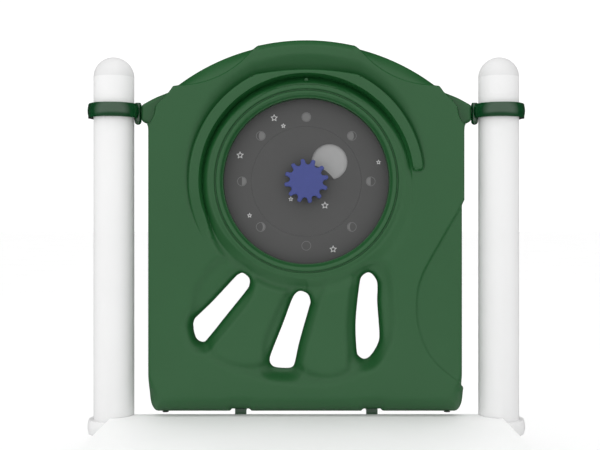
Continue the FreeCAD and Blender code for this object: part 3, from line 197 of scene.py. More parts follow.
# Two colours mottled over patchMm, fine bumps of grainMm, and a roughness that wanders a little.
def surfaceMaterial(name, dark, light, patchMm, grainMm, bump, rough, metallic=0.0, coat=0.0,
                    coatRough=0.1, stretch=(1.0, 1.0, 1.0)):
    material = bpy.data.materials.new(name)
    material.use_nodes = True
    tree = material.node_tree
    shader = tree.nodes["Principled BSDF"]
    place = addNode(tree, "ShaderNodeTexCoord")
    aligned = addNode(tree, "ShaderNodeMapping", {"Scale": stretch}, {"Vector": place.outputs["Object"]})
    patches = addNode(tree, "ShaderNodeTexNoise", {"Scale": 1000 / patchMm, "Detail": 3.0, "Roughness": 0.55},
                      {"Vector": aligned.outputs["Vector"]})
    grain = addNode(tree, "ShaderNodeTexNoise", {"Scale": 1000 / grainMm, "Detail": 2.0, "Roughness": 0.5},
                    {"Vector": aligned.outputs["Vector"]})
    colour = addNode(tree, "ShaderNodeMix", {"A": hexColour(dark), "B": hexColour(light)},
                     {"Factor": patches.outputs["Fac"]}, data_type="RGBA")
    tree.links.new(colour.outputs[2], shader.inputs["Base Color"])
    roughness = addNode(tree, "ShaderNodeMapRange",
                        {"From Min": 0.3, "From Max": 0.7, "To Min": rough[0], "To Max": rough[1]},
                        {"Value": grain.outputs["Fac"]})
    tree.links.new(roughness.outputs["Result"], shader.inputs["Roughness"])
    relief = addNode(tree, "ShaderNodeBump", {"Strength": bump, "Distance": 0.0004},
                     {"Height": grain.outputs["Fac"]})
    tree.links.new(relief.outputs["Normal"], shader.inputs["Normal"])
    shader.inputs["Metallic"].default_value = metallic
    if coat:
        shader.inputs["Coat Weight"].default_value = coat
        shader.inputs["Coat Roughness"].default_value = coatRough
    return material


materialTable = {
    # steel tube, polyester powder coat: clean white with a faint orange-peel
    "white_coated_steel": dict(dark="#E2E2E2", light="#E6E6E6", patchMm=160, grainMm=3.0, bump=0.05,
                               rough=(0.32, 0.42)),
    # cast aluminium caps under the same coat: a touch softer and warmer
    "white_cast_cap": dict(dark="#D6D6D6", light="#DCDCDC", patchMm=90, grainMm=2.2, bump=0.08,
                           rough=(0.36, 0.46)),
    # vinyl-dipped deck sheet: matt, slightly pebbled
    "white_deck_board": dict(dark="#F8F8F8", light="#FEFEFE", patchMm=220, grainMm=4.0, bump=0.16,
                             rough=(0.55, 0.7)),
    # rotomoulded polyethylene: deep green, satin, with a soft sand-blasted mould grain
    "green_polyethylene": dict(dark="#154D22", light="#185226", patchMm=240, grainMm=2.6, bump=0.07,
                               rough=(0.36, 0.46)),
    # cast aluminium with a gloss powder coat: darker green, sharp reflections
    "green_coated_casting": dict(dark="#08381A", light="#0B3D1E", patchMm=40, grainMm=2.4, bump=0.04,
                                 rough=(0.08, 0.14), coat=0.8, coatRough=0.06),
    # high-density polyethylene sheet, fine matt on both faces
    "charcoal_sheet": dict(dark="#454545", light="#484848", patchMm=120, grainMm=1.6, bump=0.06,
                           rough=(0.5, 0.62)),
    "moon_grey_sheet": dict(dark="#939393", light="#9B9B9B", patchMm=28, grainMm=1.6, bump=0.06,
                            rough=(0.5, 0.62)),
    "shadow_grey_inlay": dict(dark="#484848", light="#4C4C4C", patchMm=60, grainMm=1.6, bump=0.06,
                              rough=(0.5, 0.62)),
    # machined blue polyethylene knob: satin, faint cutter grain
    "blue_polyethylene": dict(dark="#323C7A", light="#364182", patchMm=26, grainMm=1.2, bump=0.07,
                              rough=(0.38, 0.5)),
    # the second layer of a two-colour sheet, cut into stars and phase signs
    "pale_grey_inlay": dict(dark="#6A6A6A", light="#707070", patchMm=14, grainMm=1.4, bump=0.05,
                            rough=(0.5, 0.6)),
    # the same sheet's top layer where it is left whole: the stars
    "star_grey_inlay": dict(dark="#B4B4B4", light="#BCBCBC", patchMm=14, grainMm=1.4, bump=0.05,
                            rough=(0.5, 0.6)),
    # stainless fasteners: turned, so the grain runs round
    "plain_steel": dict(dark="#8F9193", light="#B4B6B8", patchMm=6, grainMm=0.6, bump=0.1,
                        rough=(0.24, 0.4), metallic=1.0, stretch=(1.0, 1.0, 6.0)),
    # natural nylon bushing: milky and slightly waxy
    "nylon": dict(dark="#DAD8CE", light="#E4E2DA", patchMm=8, grainMm=0.8, bump=0.05, rough=(0.4, 0.5)),
    # moulded rubber plugs and feet: soft black, dusty
    "black_rubber": dict(dark="#161616", light="#232323", patchMm=9, grainMm=0.7, bump=0.2,
                         rough=(0.65, 0.82)),
}
finishes = {name: surfaceMaterial(name, **values) for name, values in materialTable.items()}
print("materials", len(finishes))

# Every carried-over node gets its finish by its slot's name; the dial's bolts are capped in green
for name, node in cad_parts.items():
    for place in node.material_slots:
        label = place.material.name.split(".")[0] if place.material else ""
        if label in finishes:
            place.material = finishes["green_polyethylene" if name == "dial_bolts" else label]

# The panel's outline
panelSizes = {
    "side": 495.0, "crown": 442.8, "archRadius": 680.0, "scallopStart": 156.0, "shoulder": 419.0,
    "scallopDepth": 6.0, "earEnd": 521.0, "foot": -728.0, "cornerWide": 27.0, "cornerTall": 48.0,
    "stepIn": 7.0, "stepTop": -60.0, "stepFoot": -642.0, "notchAt": 208.0, "notchHalf": 34.0,
    "notchHigh": 7.0, "spacing": 4.0,
}


# Height of the arched top at x, sunk by the scallop's depth
def archV(x, sink):
    z = panelSizes
    return z["crown"] - z["archRadius"] + np.sqrt((z["archRadius"] - sink) ** 2 - x ** 2)


# Right side from the crown down, then the foot, then the left side up; anticlockwise in the end
def panelOutline():
    z = panelSizes
    x = np.linspace(0, z["shoulder"], 120)
    sink = z["scallopDepth"] * (ease(z["scallopStart"] - 6, z["scallopStart"] + 8, x)
                                - 0.6 * ease(z["shoulder"] - 16, z["shoulder"] - 1, x))
    arch = np.column_stack((x, archV(x, sink)))
    ear = smoothCurve([(421, 294), (433, 282), (476, 264), (512, 245)], 8)
    tip = z["earEnd"]
    earEnd = np.array([(tip - 2, 240), (tip, 234), (tip, 196), (tip - 3, 190)])
    root = smoothCurve([(513, 186), (503, 182), (496.5, 172), (z["side"], 158)], 6)
    turn = np.linspace(0, np.pi / 2, 12)
    corner = np.column_stack((z["side"] - z["cornerWide"] * (1 - np.cos(turn)),
                              z["foot"] + z["cornerTall"] * (1 - np.sin(turn))))
    side, inner = z["side"], z["side"] - z["stepIn"]
    stepped = np.array([(side, z["stepTop"]), (inner, z["stepTop"] - 15), (inner, z["stepFoot"]),
                        (side, z["stepFoot"] - 7)])
    at, half, high = z["notchAt"], z["notchHalf"], z["notchHigh"]
    notch = np.array([(at + half, 0), (at + half - high, high), (at - half + high, high),
                      (at - half, 0)]) + (0, z["foot"])
    head = np.vstack((arch, ear, earEnd, root))
    flip = np.array([-1.0, 1.0])
    right = np.vstack((head, stepped, corner, notch))
    left = np.vstack(((notch * flip)[::-1], (corner * flip)[::-1], (head * flip)[::-1]))
    return respaced(np.vstack((right, left))[::-1], z["spacing"])


# Slots are tapered fingers with soft corners, given as a few points round each
slotCurves = {
    "left": [(-200, -290), (-181, -306), (-180, -326), (-190, -345), (-250, -420), (-311, -496),
             (-327, -509), (-346, -501), (-355, -482), (-359, -455), (-355, -438), (-348, -429),
             (-297, -380), (-228, -306), (-214, -294)],
    "middle": [(-16, -347), (5, -357), (13, -380), (9, -399), (-11, -468), (-25, -520), (-37, -575),
               (-46, -589), (-65, -592), (-98, -589), (-112, -580), (-116, -563), (-107, -533),
               (-74, -450), (-46, -375), (-32, -353)],
    "right": [(195, -288), (211, -296), (224, -317), (226, -343), (225, -380), (230, -450),
              (232, -482), (230, -506), (218, -533), (200, -556), (183, -563), (167, -554),
              (160, -538), (156, -478), (157, -427), (163, -366), (170, -315), (177, -299)],
}
slotLoops = {name: respaced(smoothCurve(points, 8, closed=True), panelSizes["spacing"])
             for name, points in slotCurves.items()}
outline = panelOutline()

# Relief of the panel's face
reliefSizes = {
    "face": 48.0, "edge": 9.0, "crownWide": 20.0, "crownFall": 14.0, "footRoll": 58.0, "earDrop": 28.0,
    "lipIn": 261.0, "lipFlat": 270.5, "lipOut": 281.0, "grooveIn": 283.5, "grooveOut": 287.0,
    "bandOut": 302.0, "bowlOut": 332.0, "visorOut": 369.5, "visorRise": 10.0, "bowlDeep": 17.0,
    "troughDeep": 15.0, "troughWide": 42.0, "slotReach": 17.0, "slotDeep": 41.0, "slotSag": 9.0,
    "sagReach": 42.0, "lensDeep": 5.0, "dishDeep": 12.0, "padRise": 10.0, "deepest": 60.0,
    "backRoll": 18.0, "backField": 5.0, "backBead": 3.0, "visorEnd": 8.0,
    "seatFront": -1.0, "seatBack": 9.3, "seatOut": 271.0, "boardOut": 335.5,
    "bevelStep": 4.0, "bevelDeep": 27.0, "lipFall": 10.0, "lipLift": 2.0, "grooveDeep": 4.6,
    "bandSink": 1.6, "troughThin": 8.0, "troughLeast": 3.0, "lowWide": 30.0, "lowDeep": 0.45,
}
bevelCentre, bevelRadius = circleThrough((-375, 298), (-250, 337), (-163, 413))
browLowCentre, browLowRadius = circleThrough((-154, 334.5), (0, 349), (154, 334.5))
lensEdge = smoothCurve([(490, -60), (417, -185), (358, -294), (341, -372), (348, -465), (392, -559),
                        (490, -644)], 12)
earEdge = np.array([(178, 494), (186, 488), (205, 478), (236, 472), (280, 431), (300, 418),
                    (330, 418)], float)
dishEdge = smoothCurve([(-352, -320), (-370, -400), (-362, -480), (-306, -562), (-205, -612),
                        (-60, -642), (90, -640), (212, -590), (274, -510), (285, -400), (255, -250),
                        (120, -250), (-120, -250), (-270, -230)], 10, closed=True)
padLeft = smoothCurve([(-160, -300), (-70, -300), (-52, -345), (-88, -420), (-122, -505), (-130, -576),
                       (-200, -588), (-266, -570), (-310, -528), (-262, -460), (-190, -370)], 8, closed=True)
padRight = smoothCurve([(60, -318), (120, -296), (150, -300), (148, -360), (140, -450), (142, -560),
                        (125, -606), (70, -622), (20, -612), (-22, -586), (-16, -530), (10, -440),
                        (30, -370)], 8, closed=True)
# Toe hollows that run up to the slots' feet: x, v, half width, half height, depth, reach
toes = ((-322, -533, 34, 34, 20.0, 34.0), (-72, -602, 116, 24, 27.0, 40.0), (206, -572, 46, 36, 22.0, 38.0),
        (-362, -430, 16, 50, 8.0, 24.0))


# Signed distance to the visor's band, which has a round end on the right
def visorGap(x, v):
    z = reliefSizes
    middle, half = (z["bowlOut"] + z["visorOut"]) / 2, (z["visorOut"] - z["bowlOut"]) / 2
    radius, turn = np.hypot(x, v), np.degrees(np.arctan2(v, x))
    endTurn = math.radians(z["visorEnd"])
    end = np.hypot(x - middle * math.cos(endTurn), v - middle * math.sin(endTurn)) - half
    low = (turn < z["visorEnd"]) & (turn > -90.0)
    return np.where(low, end, np.abs(radius - middle) - half), turn


# Fall of the rounded rim: r - sqrt(r^2 - (r - distance to the rim)^2)
def rimDrop(rim, roll):
    inset = np.clip(roll - rim, 0, roll)
    return roll - np.sqrt(np.maximum(roll ** 2 - inset ** 2, 0))


# The ears lie lower than the face beyond their inner edge
def earDrop(x, v):
    brink = np.interp(v, earEdge[:, 0], earEdge[:, 1])
    return reliefSizes["earDrop"] * ease(-4, 4, np.abs(x) - brink) * (v > earEdge[0, 0])


# How far the front surface lies behind the plain face, in mm; negative stands proud.
# It adds the rounded rim, the ears, the flank bevels, the side lens, the dial's rings, the visor with
# its trough, the brow, the dish with its two pads, and the funnel round each slot.
def frontDrop(points, rim, slots):
    z = reliefSizes
    x, v = points.T
    radius = np.hypot(x, v)
    gap, turn = visorGap(x, v)
    turnUp = np.where(turn < -90, turn + 360, turn)

    # rounded rim: a quarter circle whose radius grows at the crown and at the foot
    edge = rimDrop(rim, z["edge"] + (z["footRoll"] - z["edge"]) * ease(-600, -700, v))
    crown = ease(166, 144, np.abs(x)) * (v > 200)
    edge = edge + z["crownFall"] * crown * np.clip(1 - rim / z["crownWide"], 0, 1) ** 1.05

    # flank bevels: a scoop that falls away from its concave inner line to the arch
    side = np.column_stack((-np.abs(x), v))
    scoop = bevelRadius - np.hypot(*(side - bevelCentre).T)
    share = np.clip(scoop, 0, None) / np.maximum(np.clip(scoop, 0, None) + rim, 1e-6)
    bevel = np.where((scoop > 0) & (v > 250) & (np.abs(x) > 120),
                     z["bevelStep"] * ease(0, 3.6, scoop) + z["bevelDeep"] * share ** 1.7, 0)
    edge = np.maximum(edge, bevel)

    # side lens
    order = np.argsort(lensEdge[:, 1])
    lensX = np.interp(v, lensEdge[order, 1], lensEdge[order, 0], left=600, right=600)
    lens = z["lensDeep"] * ease(-1, 9, x - lensX) * ease(0, 26, x - lensX + 14)

    # ridge: the visor's band, cut off along a flatter arc at the top
    aboveLow = np.where(v > 250, np.hypot(x, v - browLowCentre[1]) - browLowRadius, -50)
    ridgeGap = np.maximum(gap, aboveLow)
    fade = ease(210, 180, turnUp)
    visor = -z["visorRise"] * ease(1.2, -4.5, ridgeGap) * fade

    # trough outside the ridge: it deepens towards the ridge, evenly at the top and faster at the flanks
    swing = ease(0, 58, turnUp) * ease(188, 128, turnUp)
    top = np.exp(-((turnUp - 90) / 24) ** 2)
    thin, least = z["troughThin"], z["troughLeast"]
    width = thin + (z["troughWide"] - thin) * swing + thin * top
    fall = np.clip(1 - np.clip(ridgeGap, 0, None) / width, 0, 1)
    trough = (least + (z["troughDeep"] - least) * swing) * fall ** (1.9 - 0.75 * top)
    sunk = trough * ease(-3.0, 0.5, ridgeGap) * ease(214, 186, turnUp) * ease(-16, 2, turnUp)

    # bowl: falls outwards, faster on the left and at the top, to a steep wall; shallow and open below
    around = turn % 360
    low = ease(196, 226, around) * ease(358, 334, around)
    right = ease(62, 20, around) * (around < 90) + (around > 270)
    out = z["bowlOut"] + z["lowWide"] * low
    along = np.clip((radius - z["bandOut"]) / (out - z["bandOut"]), 0, 1)
    deep = z["bowlDeep"] * (1 - 0.55 * right) * (1 + z["lowDeep"] * low)
    deep = deep * (1 - 0.75 * ease(10, -4, turn) * ease(-60, -35, turn))
    bowl = deep * np.clip(along / 0.84, 0, 1) ** (1.5 - 0.65 * low)
    bowl = bowl * ease(1.0, 0.84 - 0.4 * low, along)
    bowl = np.where(radius < z["bandOut"], 0, bowl)

    # dish, its pads, and hollows at the slots' feet
    dish = z["dishDeep"] * ease(0, 34, nearDepth(points, dishEdge, 40, -50.0))
    pads = z["padRise"] * np.maximum(ease(-4, 22, nearDepth(points, padLeft, 40, -50.0)),
                                     ease(-4, 22, nearDepth(points, padRight, 40, -50.0)))
    dish = (dish - pads * ease(0, 6, dish)) * ease(z["bandOut"] + 2, z["bowlOut"] + 8, radius)
    for toeX, toeV, wide, tall, amount, reach in toes:
        dish = dish + (amount * np.clip(1 - slots / reach, 0, 1)
                       * np.exp(-((x - toeX) / wide) ** 2 - ((v - toeV) / tall) ** 2))
    field = np.maximum(bowl, dish) + 0.35 * np.minimum(bowl, dish)

    # lip, groove and inner band
    lipSlope = ease(z["grooveIn"], z["lipOut"] - 1, radius)
    lip = (z["lipFall"] * ease(z["lipFlat"], z["lipIn"], radius)
           - z["lipLift"] * ease(z["lipFlat"] - 2, z["lipFlat"] + 3, radius) * lipSlope
           + z["grooveDeep"] * ease(z["grooveIn"] - 1.6, z["grooveIn"] + 0.4, radius)
           * ease(z["grooveOut"] + 1.6, z["grooveOut"] - 0.2, radius)
           + z["bandSink"] * ease(z["bandOut"] - 9, z["bandOut"], radius) * (radius < z["bandOut"] + 0.01))
    outside = z["bandSink"] * ease(z["bandOut"] + 14, z["bandOut"], radius)
    ring = np.where(radius <= z["bandOut"], lip, outside)

    total = np.where(radius <= z["bandOut"], ring, np.maximum(field, ring) + visor + sunk)
    total = total + lens * (radius > z["visorOut"]) + earDrop(x, v)

    # funnel: a long soft sag, then a quarter ellipse down to the middle of the panel at the slot's edge
    sag = np.clip(1 - slots / z["sagReach"], 0, 1)
    total = total + z["slotSag"] * sag ** 1.8
    near = np.clip(1 - slots / z["slotReach"], 0, 1)
    funnel = 1 - np.sqrt(np.maximum(1 - near ** 2, 0))
    total = total + (z["slotDeep"] - total) * funnel
    return np.minimum(np.maximum(total, 0) + np.maximum(edge, 0), z["deepest"]) + np.minimum(total, 0)


# Back surface: rounded rim, thinner ears, funnels, and a low bead round the back board
def backDrop(points, rim, slots):
    z = reliefSizes
    x, v = points.T
    radius = np.hypot(x, v)
    edge = rimDrop(rim, z["edge"] + (z["backRoll"] - z["edge"]) * ease(-640, -700, v))
    field = z["backField"] * ease(26, 40, rim) * ease(360, 372, radius) * ease(16, 26, slots)
    bead = z["backBead"] * ease(340, 336, radius)
    near = np.clip(1 - slots / z["slotReach"], 0, 1)
    total = earDrop(x, v) + field + bead
    total = total + (z["slotDeep"] - total) * (1 - np.sqrt(np.maximum(1 - near ** 2, 0)))
    return np.minimum(total + edge, z["deepest"])


# One side of the panel: fixed boundary points first, then feature rows and a plain grid, all
# triangulated together; triangles in the holes are dropped.
def panelSide(bore, rowsRim, rowsSlot, circles, gridMm, extraRows, drop):
    loops = [outline] + list(slotLoops.values()) + [circlePoints(bore, ringCount)]
    fixed = np.vstack(loops)
    extra = []
    for distance in rowsRim:
        row = shifted(outline, distance)
        extra.append(row[np.abs(loopDepth(row, outline) - distance) < 0.25])
    for loop in slotLoops.values():
        for distance in rowsSlot:
            row = shifted(loop, -distance)
            extra.append(row[np.abs(loopDepth(row, loop) + distance) < 0.25])
    for radius in circles:
        row = circlePoints(radius, ringCount)
        extra.append(row[loopDepth(row, outline) > 2])
    extra += extraRows
    low, high = outline.min(axis=0), outline.max(axis=0)
    gx, gv = np.meshgrid(np.arange(low[0], high[0], gridMm), np.arange(low[1], high[1], gridMm))
    gx[1::2] += gridMm / 2
    plain = np.column_stack((gx.ravel(), gv.ravel()))
    plain = plain[np.hypot(*plain.T) > (max(circles) + gridMm * 0.5 if circles else bore)]
    extra.append(plain)
    free = np.vstack(extra)
    rim = loopDepth(free, outline)
    slots = slotGap(free)
    free = free[(rim > 0.25) & (slots > 0.25) & (np.hypot(*free.T) > bore + 0.4)]
    free = free[keepApart(free)]
    everything = np.vstack((fixed, free))
    edges = []
    start = 0
    for loop in loops:
        ids = np.arange(start, start + len(loop))
        edges.append(np.column_stack((ids, np.roll(ids, -1))))
        start += len(loop)
    found = delaunay_2d_cdt([Vector(p) for p in everything.tolist()], np.vstack(edges).tolist(), [], 0, 1e-5)
    points = np.array([tuple(p) for p in found[0]])
    faces = np.array(found[2])
    middle = points[faces].mean(axis=1)
    keep = ((loopDepth(middle, outline) > 0) & (slotGap(middle) > 0) & (np.hypot(*middle.T) > bore * 0.9999))
    faces = faces[keep]
    origin = {}
    for number, sources in enumerate(found[3]):
        for source in sources:
            origin[source] = number
    boundary = np.array([origin[i] for i in range(len(fixed))])
    rim = np.maximum(loopDepth(points, outline), 0)
    slots = np.maximum(slotGap(points), 0)
    rim[boundary[:len(outline)]] = 0
    return points, faces, boundary, drop(points, rim, slots)


# Distance to the nearest slot's edge, negative inside a slot
def slotGap(points):
    gaps = [-nearDepth(points, loop, 60, -60.0) for loop in slotLoops.values()]
    return np.min(gaps, axis=0)


# True for the first point in each cell of 0.9 mm, so no two sit on top of each other
def keepApart(points):
    cellMm = 0.9
    cells = np.round(points / cellMm).astype(int)
    firsts = np.unique(cells, axis=0, return_index=True)[1]
    mask = np.zeros(len(points), bool)
    mask[firsts] = True
    return mask


def makePanel():
    z = reliefSizes
    arcRows = []
    for flip in (-1, 1):
        turn = np.linspace(0, 2 * np.pi, 900)
        for shift in (-1.0, 0.0, 1.2, 2.4, 3.6, 5.5, 9):
            ring = bevelCentre + (bevelRadius - shift) * np.column_stack((np.cos(turn), np.sin(turn)))
            ring = ring[(ring[:, 0] < -120) & (ring[:, 1] > 280)]
            arcRows.append(ring * (-flip, 1))
    turn = np.linspace(np.radians(60), np.radians(120), 260)
    for shift in (-5, -3, -1.2, 0, 1.2, 3, 6, 10, 16, 24, 34, 46):
        arcRows.append(np.column_stack((browLowCentre[0] + (browLowRadius + shift) * np.cos(turn),
                                        browLowCentre[1] + (browLowRadius + shift) * np.sin(turn))))
    for shift in (-1, 0.5, 2, 4, 7, 10):
        arcRows.append(respaced(lensEdge, 4.0, closed=False) + (shift, 0))
    rows = np.linspace(178, 300, 34)
    brink = np.interp(rows, earEdge[:, 0], earEdge[:, 1])
    for shift in (-4, -2, 0, 2, 4):
        arcRows += [np.column_stack((brink + shift, rows)), np.column_stack((-brink - shift, rows))]
    arcRows = [row[loopDepth(row, outline) > 0.5] for row in arcRows]
    circles = [262.5, 264.5, 266.5, 268, 269.5, 272, 276, 279, 280.5, 282, 283, 284, 285.5, 287, 288,
               289.5, 292, 295, 298, 300, 302, 304, 307, 310, 313.5, 317, 320.5, 323, 325.5, 327.5,
               329.5, 331, 332.5, 334, 336, 340, 347, 354, 360, 364, 366.5, 368.5, 370, 371.5, 373.5,
               376, 379, 383, 388]
    rims = (0.5, 1.2, 2.2, 3.6, 5.4, 7.6, 10.2, 13.5, 18, 23, 29, 35, 40)
    slotRows = (0.3, 0.8, 1.5, 2.5, 4, 6, 8.5, 11, 13.5, 17, 21, 26, 32, 38)
    front = panelSide(z["lipIn"], rims, slotRows, circles, 6.5, arcRows, frontDrop)
    backRims = rims[:9] + (26, 30, 34, 38, 42)
    backCircles = [336.5, 338, 340, 345, 352, 360, 364, 368, 372]
    back = panelSide(z["boardOut"], backRims, slotRows, backCircles, 14.0, [], backDrop)
    rings = []
    parts = []
    faces = []
    start = 0
    for sign, (points, triangles, boundary, drop) in ((-1, front), (1, back)):
        parts.append(panelPoints(points[:, 0], sign * (z["face"] - drop), points[:, 1]))
        faces += (triangles + start)[:, ::-sign].tolist()
        rings.append(boundary + start)
        start += len(points)
    first = 0
    for loop in [outline] + list(slotLoops.values()):
        ids = np.arange(first, first + len(loop))
        strip = np.stack((rings[0][ids], rings[1][ids]))
        faces += gridQuads(strip)[:, ::-1].tolist()
        first += len(loop)
    # the dial's opening steps out behind the lip for the plates and the back board
    ids = np.arange(first, first + ringCount)
    rows = [rings[0][ids]]
    turn = circlePoints(1.0, ringCount)
    for radius, depth in ((z["lipIn"], z["seatFront"]), (z["seatOut"], z["seatFront"]),
                          (z["seatOut"], z["seatBack"]), (z["boardOut"], z["seatBack"])):
        parts.append(panelPoints(turn[:, 0] * radius, np.full(ringCount, depth), turn[:, 1] * radius))
        rows.append(np.arange(start, start + ringCount))
        start += ringCount
    rows.append(rings[1][ids])
    faces += gridQuads(np.array(rows))[:, ::-1].tolist()
    return makePiece("panelShell", np.vstack(parts), faces, "bay", finishes["green_polyethylene"],
                     ["panel_shell"], sharp=46)


panel = makePanel()
print("panel", len(panel.data.polygons), "faces")

# The dial: sheet ring, stars, phase signs and the knob. Front of the sheet is faceLow's y.
dialSizes = {
    "edge": 270.0, "rotorHole": 174.7, "break": 0.25, "raise": 0.35, "pinch": 0.5,
    # turn in degrees, circle, reach, share left open inside
    "faceStars": [(116.9, 225.4, 12.5, 0.56), (112.5, 190.5, 8.5, 0.4), (158.4, 225.8, 12.5, 0.56),
                  (14.9, 237.0, 8.5, 0.4), (211.0, 209.9, 8.5, 0.4), (291.6, 231.2, 12.5, 0.56)],
    "rotorStars": [(307.8, 96.2, 12.5, 0.56), (228.8, 74.4, 8.5, 0.4)],
    "signCircle": 204.0, "signRadius": 15.0, "signLine": 1.6, "signCount": 48,
}
knobSizes = {
    "teeth": 12, "firstTurn": 10.0, "round": 2.6, "spacing": 1.0, "hubShare": 0.7,
    # half a tooth, tip to valley: out from the axis, and off the tooth's own middle line
    "halfTooth": [(69.6, 0.0), (69.0, 3.3), (67.0, 5.7), (63.8, 6.7), (60.0, 6.9), (56.4, 7.5),
                  (53.4, 9.0), (51.2, 11.2), (50.2, 13.45)],
}


# Dial millimetres to metres, with y straight from the frame in metres
def dialPoints(x, y, v):
    return np.column_stack((axisX + x * mm, np.broadcast_to(y, np.shape(x)), axisZ + v * mm))


# A closed ring of rows: each row is a loop and a y; the last row joins the first
def tubeOfRows(rows):
    count = len(rows[0][0])
    points = np.vstack([dialPoints(loop[:, 0], y, loop[:, 1]) for loop, y in rows])
    numbers = np.arange(len(rows) * count).reshape(len(rows), count)
    return points, gridQuads(np.vstack((numbers, numbers[:1])))


# Stacks several closed shells into one set of points and faces
def stacked(shells):
    starts = np.cumsum([0] + [len(points) for points, _ in shells[:-1]])
    points = np.vstack([points for points, _ in shells])
    return points, [face for start, (_, faces) in zip(starts, shells) for face in (faces + start).tolist()]


# Turned ring: its section is a rectangle with broken edges
def makeSheetRing():
    z = dialSizes
    inner, outer, small = z["rotorHole"], z["edge"], z["break"]
    front, back = faceLow[1], faceHigh[1]
    section = [(inner + small, front), (outer - small, front), (outer, front + small * mm),
               (outer, back - small * mm), (outer - small, back), (inner + small, back),
               (inner, back - small * mm), (inner, front + small * mm)]
    points, faces = tubeOfRows([(circlePoints(radius, ringCount), y) for radius, y in section])
    ring = makePiece("dialSheetRing", points, faces[:, ::-1].tolist(), "bay", finishes["charcoal_sheet"],
                     ["dial_face_plate"])
    return ring


# Five points alternate between the reach and its pinch; the same star, smaller, is left open inside
def starShell(turn, circle, reach, openShare, front, back):
    angle = np.radians(90 + 36 * np.arange(10))
    radius = np.where(np.arange(10) % 2 == 0, 1.0, dialSizes["pinch"]) * reach
    star = np.column_stack((radius * np.cos(angle), radius * np.sin(angle)))
    middle = circle * np.array([math.cos(math.radians(turn)), math.sin(math.radians(turn))])
    outer, inner = middle + star, middle + star * openShare
    return tubeOfRows([(outer, back), (outer, front), (inner, front), (inner, back)])


def makeStars(name, stars, front, body, replaced):
    shells = [starShell(*star, front - dialSizes["raise"] * mm, front) for star in stars]
    points, faces = stacked(shells)
    piece = makePiece(name, points, faces, body, finishes["star_grey_inlay"], replaced)
    return piece


# A ring, and the lit part between the limb (r cos t, r sin t) and the terminator (k r cos t, r sin t)
def signShells(x, v, phase, front, back):
    z = dialSizes
    middle = np.array([x, v])
    outer = middle + circlePoints(z["signRadius"], z["signCount"])
    inner = middle + circlePoints(z["signRadius"] - z["signLine"], z["signCount"])
    shells = [tubeOfRows([(outer, back), (outer, front), (inner, front), (inner, back)])]
    if phase:
        side = 1.0 if phase <= 4 else -1.0
        bend = {1: 0.5, 2: 0.0, 3: -0.5, 4: -1.0}[min(phase, 8 - phase)]
        t = np.radians(np.linspace(-86, 86, 32))
        radius = z["signRadius"] - z["signLine"] * 1.5
        limb = middle + radius * np.column_stack((side * np.cos(t), np.sin(t)))
        dusk = middle + radius * np.column_stack((side * bend * np.cos(t), np.sin(t)))
        loop = np.vstack((limb, dusk[::-1]))
        count = len(t)
        points = np.vstack([dialPoints(loop[:, 0], y, loop[:, 1]) for y in (front, back)])
        across = np.vstack((np.arange(count), np.arange(2 * count - 1, count - 1, -1)))
        sheet = gridQuads(across, closed=False)
        wall = gridQuads(np.arange(4 * count).reshape(2, 2 * count))
        faces = np.vstack((sheet, sheet[:, ::-1] + 2 * count, wall))
        shells.append((points, faces[:, ::-1] if side > 0 else faces))
    return shells


def makeSigns():
    z = dialSizes
    front = faceLow[1]
    shells = []
    for phase in range(8):
        turn = math.radians(270 - 45 * phase)
        shells += signShells(z["signCircle"] * math.cos(turn), z["signCircle"] * math.sin(turn), phase,
                             front - z["raise"] * mm, front)
    points, faces = stacked(shells)
    signs = makePiece("phaseSigns", points, faces, "bay", finishes["pale_grey_inlay"])
    return signs


# Twelve finger teeth; the front and back edges are quarter rounds, the flats are fans to the axis
def makeKnob():
    z = knobSizes
    low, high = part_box("knob")
    half = smoothCurve(z["halfTooth"], 10)
    tooth = np.vstack(((half * (1, -1))[:0:-1], half))[:-1]
    turns = np.radians(z["firstTurn"] + 360 / z["teeth"] * np.arange(z["teeth"]))
    loop = np.vstack([tooth @ np.array([[math.cos(a), math.sin(a)], [-math.sin(a), math.cos(a)]])
                      for a in turns])
    loop = respaced(loop, z["spacing"])
    bend = np.linspace(0, np.pi / 2, 7)
    insets = z["round"] * (1 - np.cos(bend))
    depths = z["round"] * (1 - np.sin(bend)) * mm
    rows = [(shifted(loop, inset), low[1] + depth) for inset, depth in zip(insets[::-1], depths[::-1])]
    rows += [(shifted(loop, inset), high[1] - depth) for inset, depth in zip(insets, depths)]
    hub = z["hubShare"]
    rows = [(rows[0][0] * hub, low[1])] + rows + [(rows[-1][0] * hub, high[1])]
    points = np.vstack([dialPoints(row[:, 0], y, row[:, 1]) for row, y in rows])
    count = len(loop)
    numbers = np.arange(len(rows) * count).reshape(len(rows), count)
    faces = gridQuads(numbers)[:, ::-1].tolist()
    hubs = dialPoints(np.zeros(2), np.array([low[1], high[1]]), np.zeros(2))
    first, last = numbers[0], numbers[-1]
    faces += np.column_stack((first, np.roll(first, -1), np.full(count, len(points)))).tolist()
    faces += np.column_stack((np.roll(last, -1), last, np.full(count, len(points) + 1))).tolist()
    knob = makePiece("knobBody", np.vstack((points, hubs)), faces, "dial_rotor",
                     finishes["blue_polyethylene"], ["knob"], sharp=60)
    return knob


sheetRing = makeSheetRing()
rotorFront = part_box("rotor_disc")[0][1]
faceStars = makeStars("faceStars", dialSizes["faceStars"], faceLow[1], "bay", ["dial_markings"])
rotorStars = makeStars("rotorStars", dialSizes["rotorStars"], rotorFront, "dial_rotor", ["rotor_stars"])
phaseSigns = makeSigns()
knobBody = makeKnob()
dialPieces = (sheetRing, faceStars, rotorStars, phaseSigns, knobBody)
print("dial", sum(len(piece.data.polygons) for piece in dialPieces), "faces")

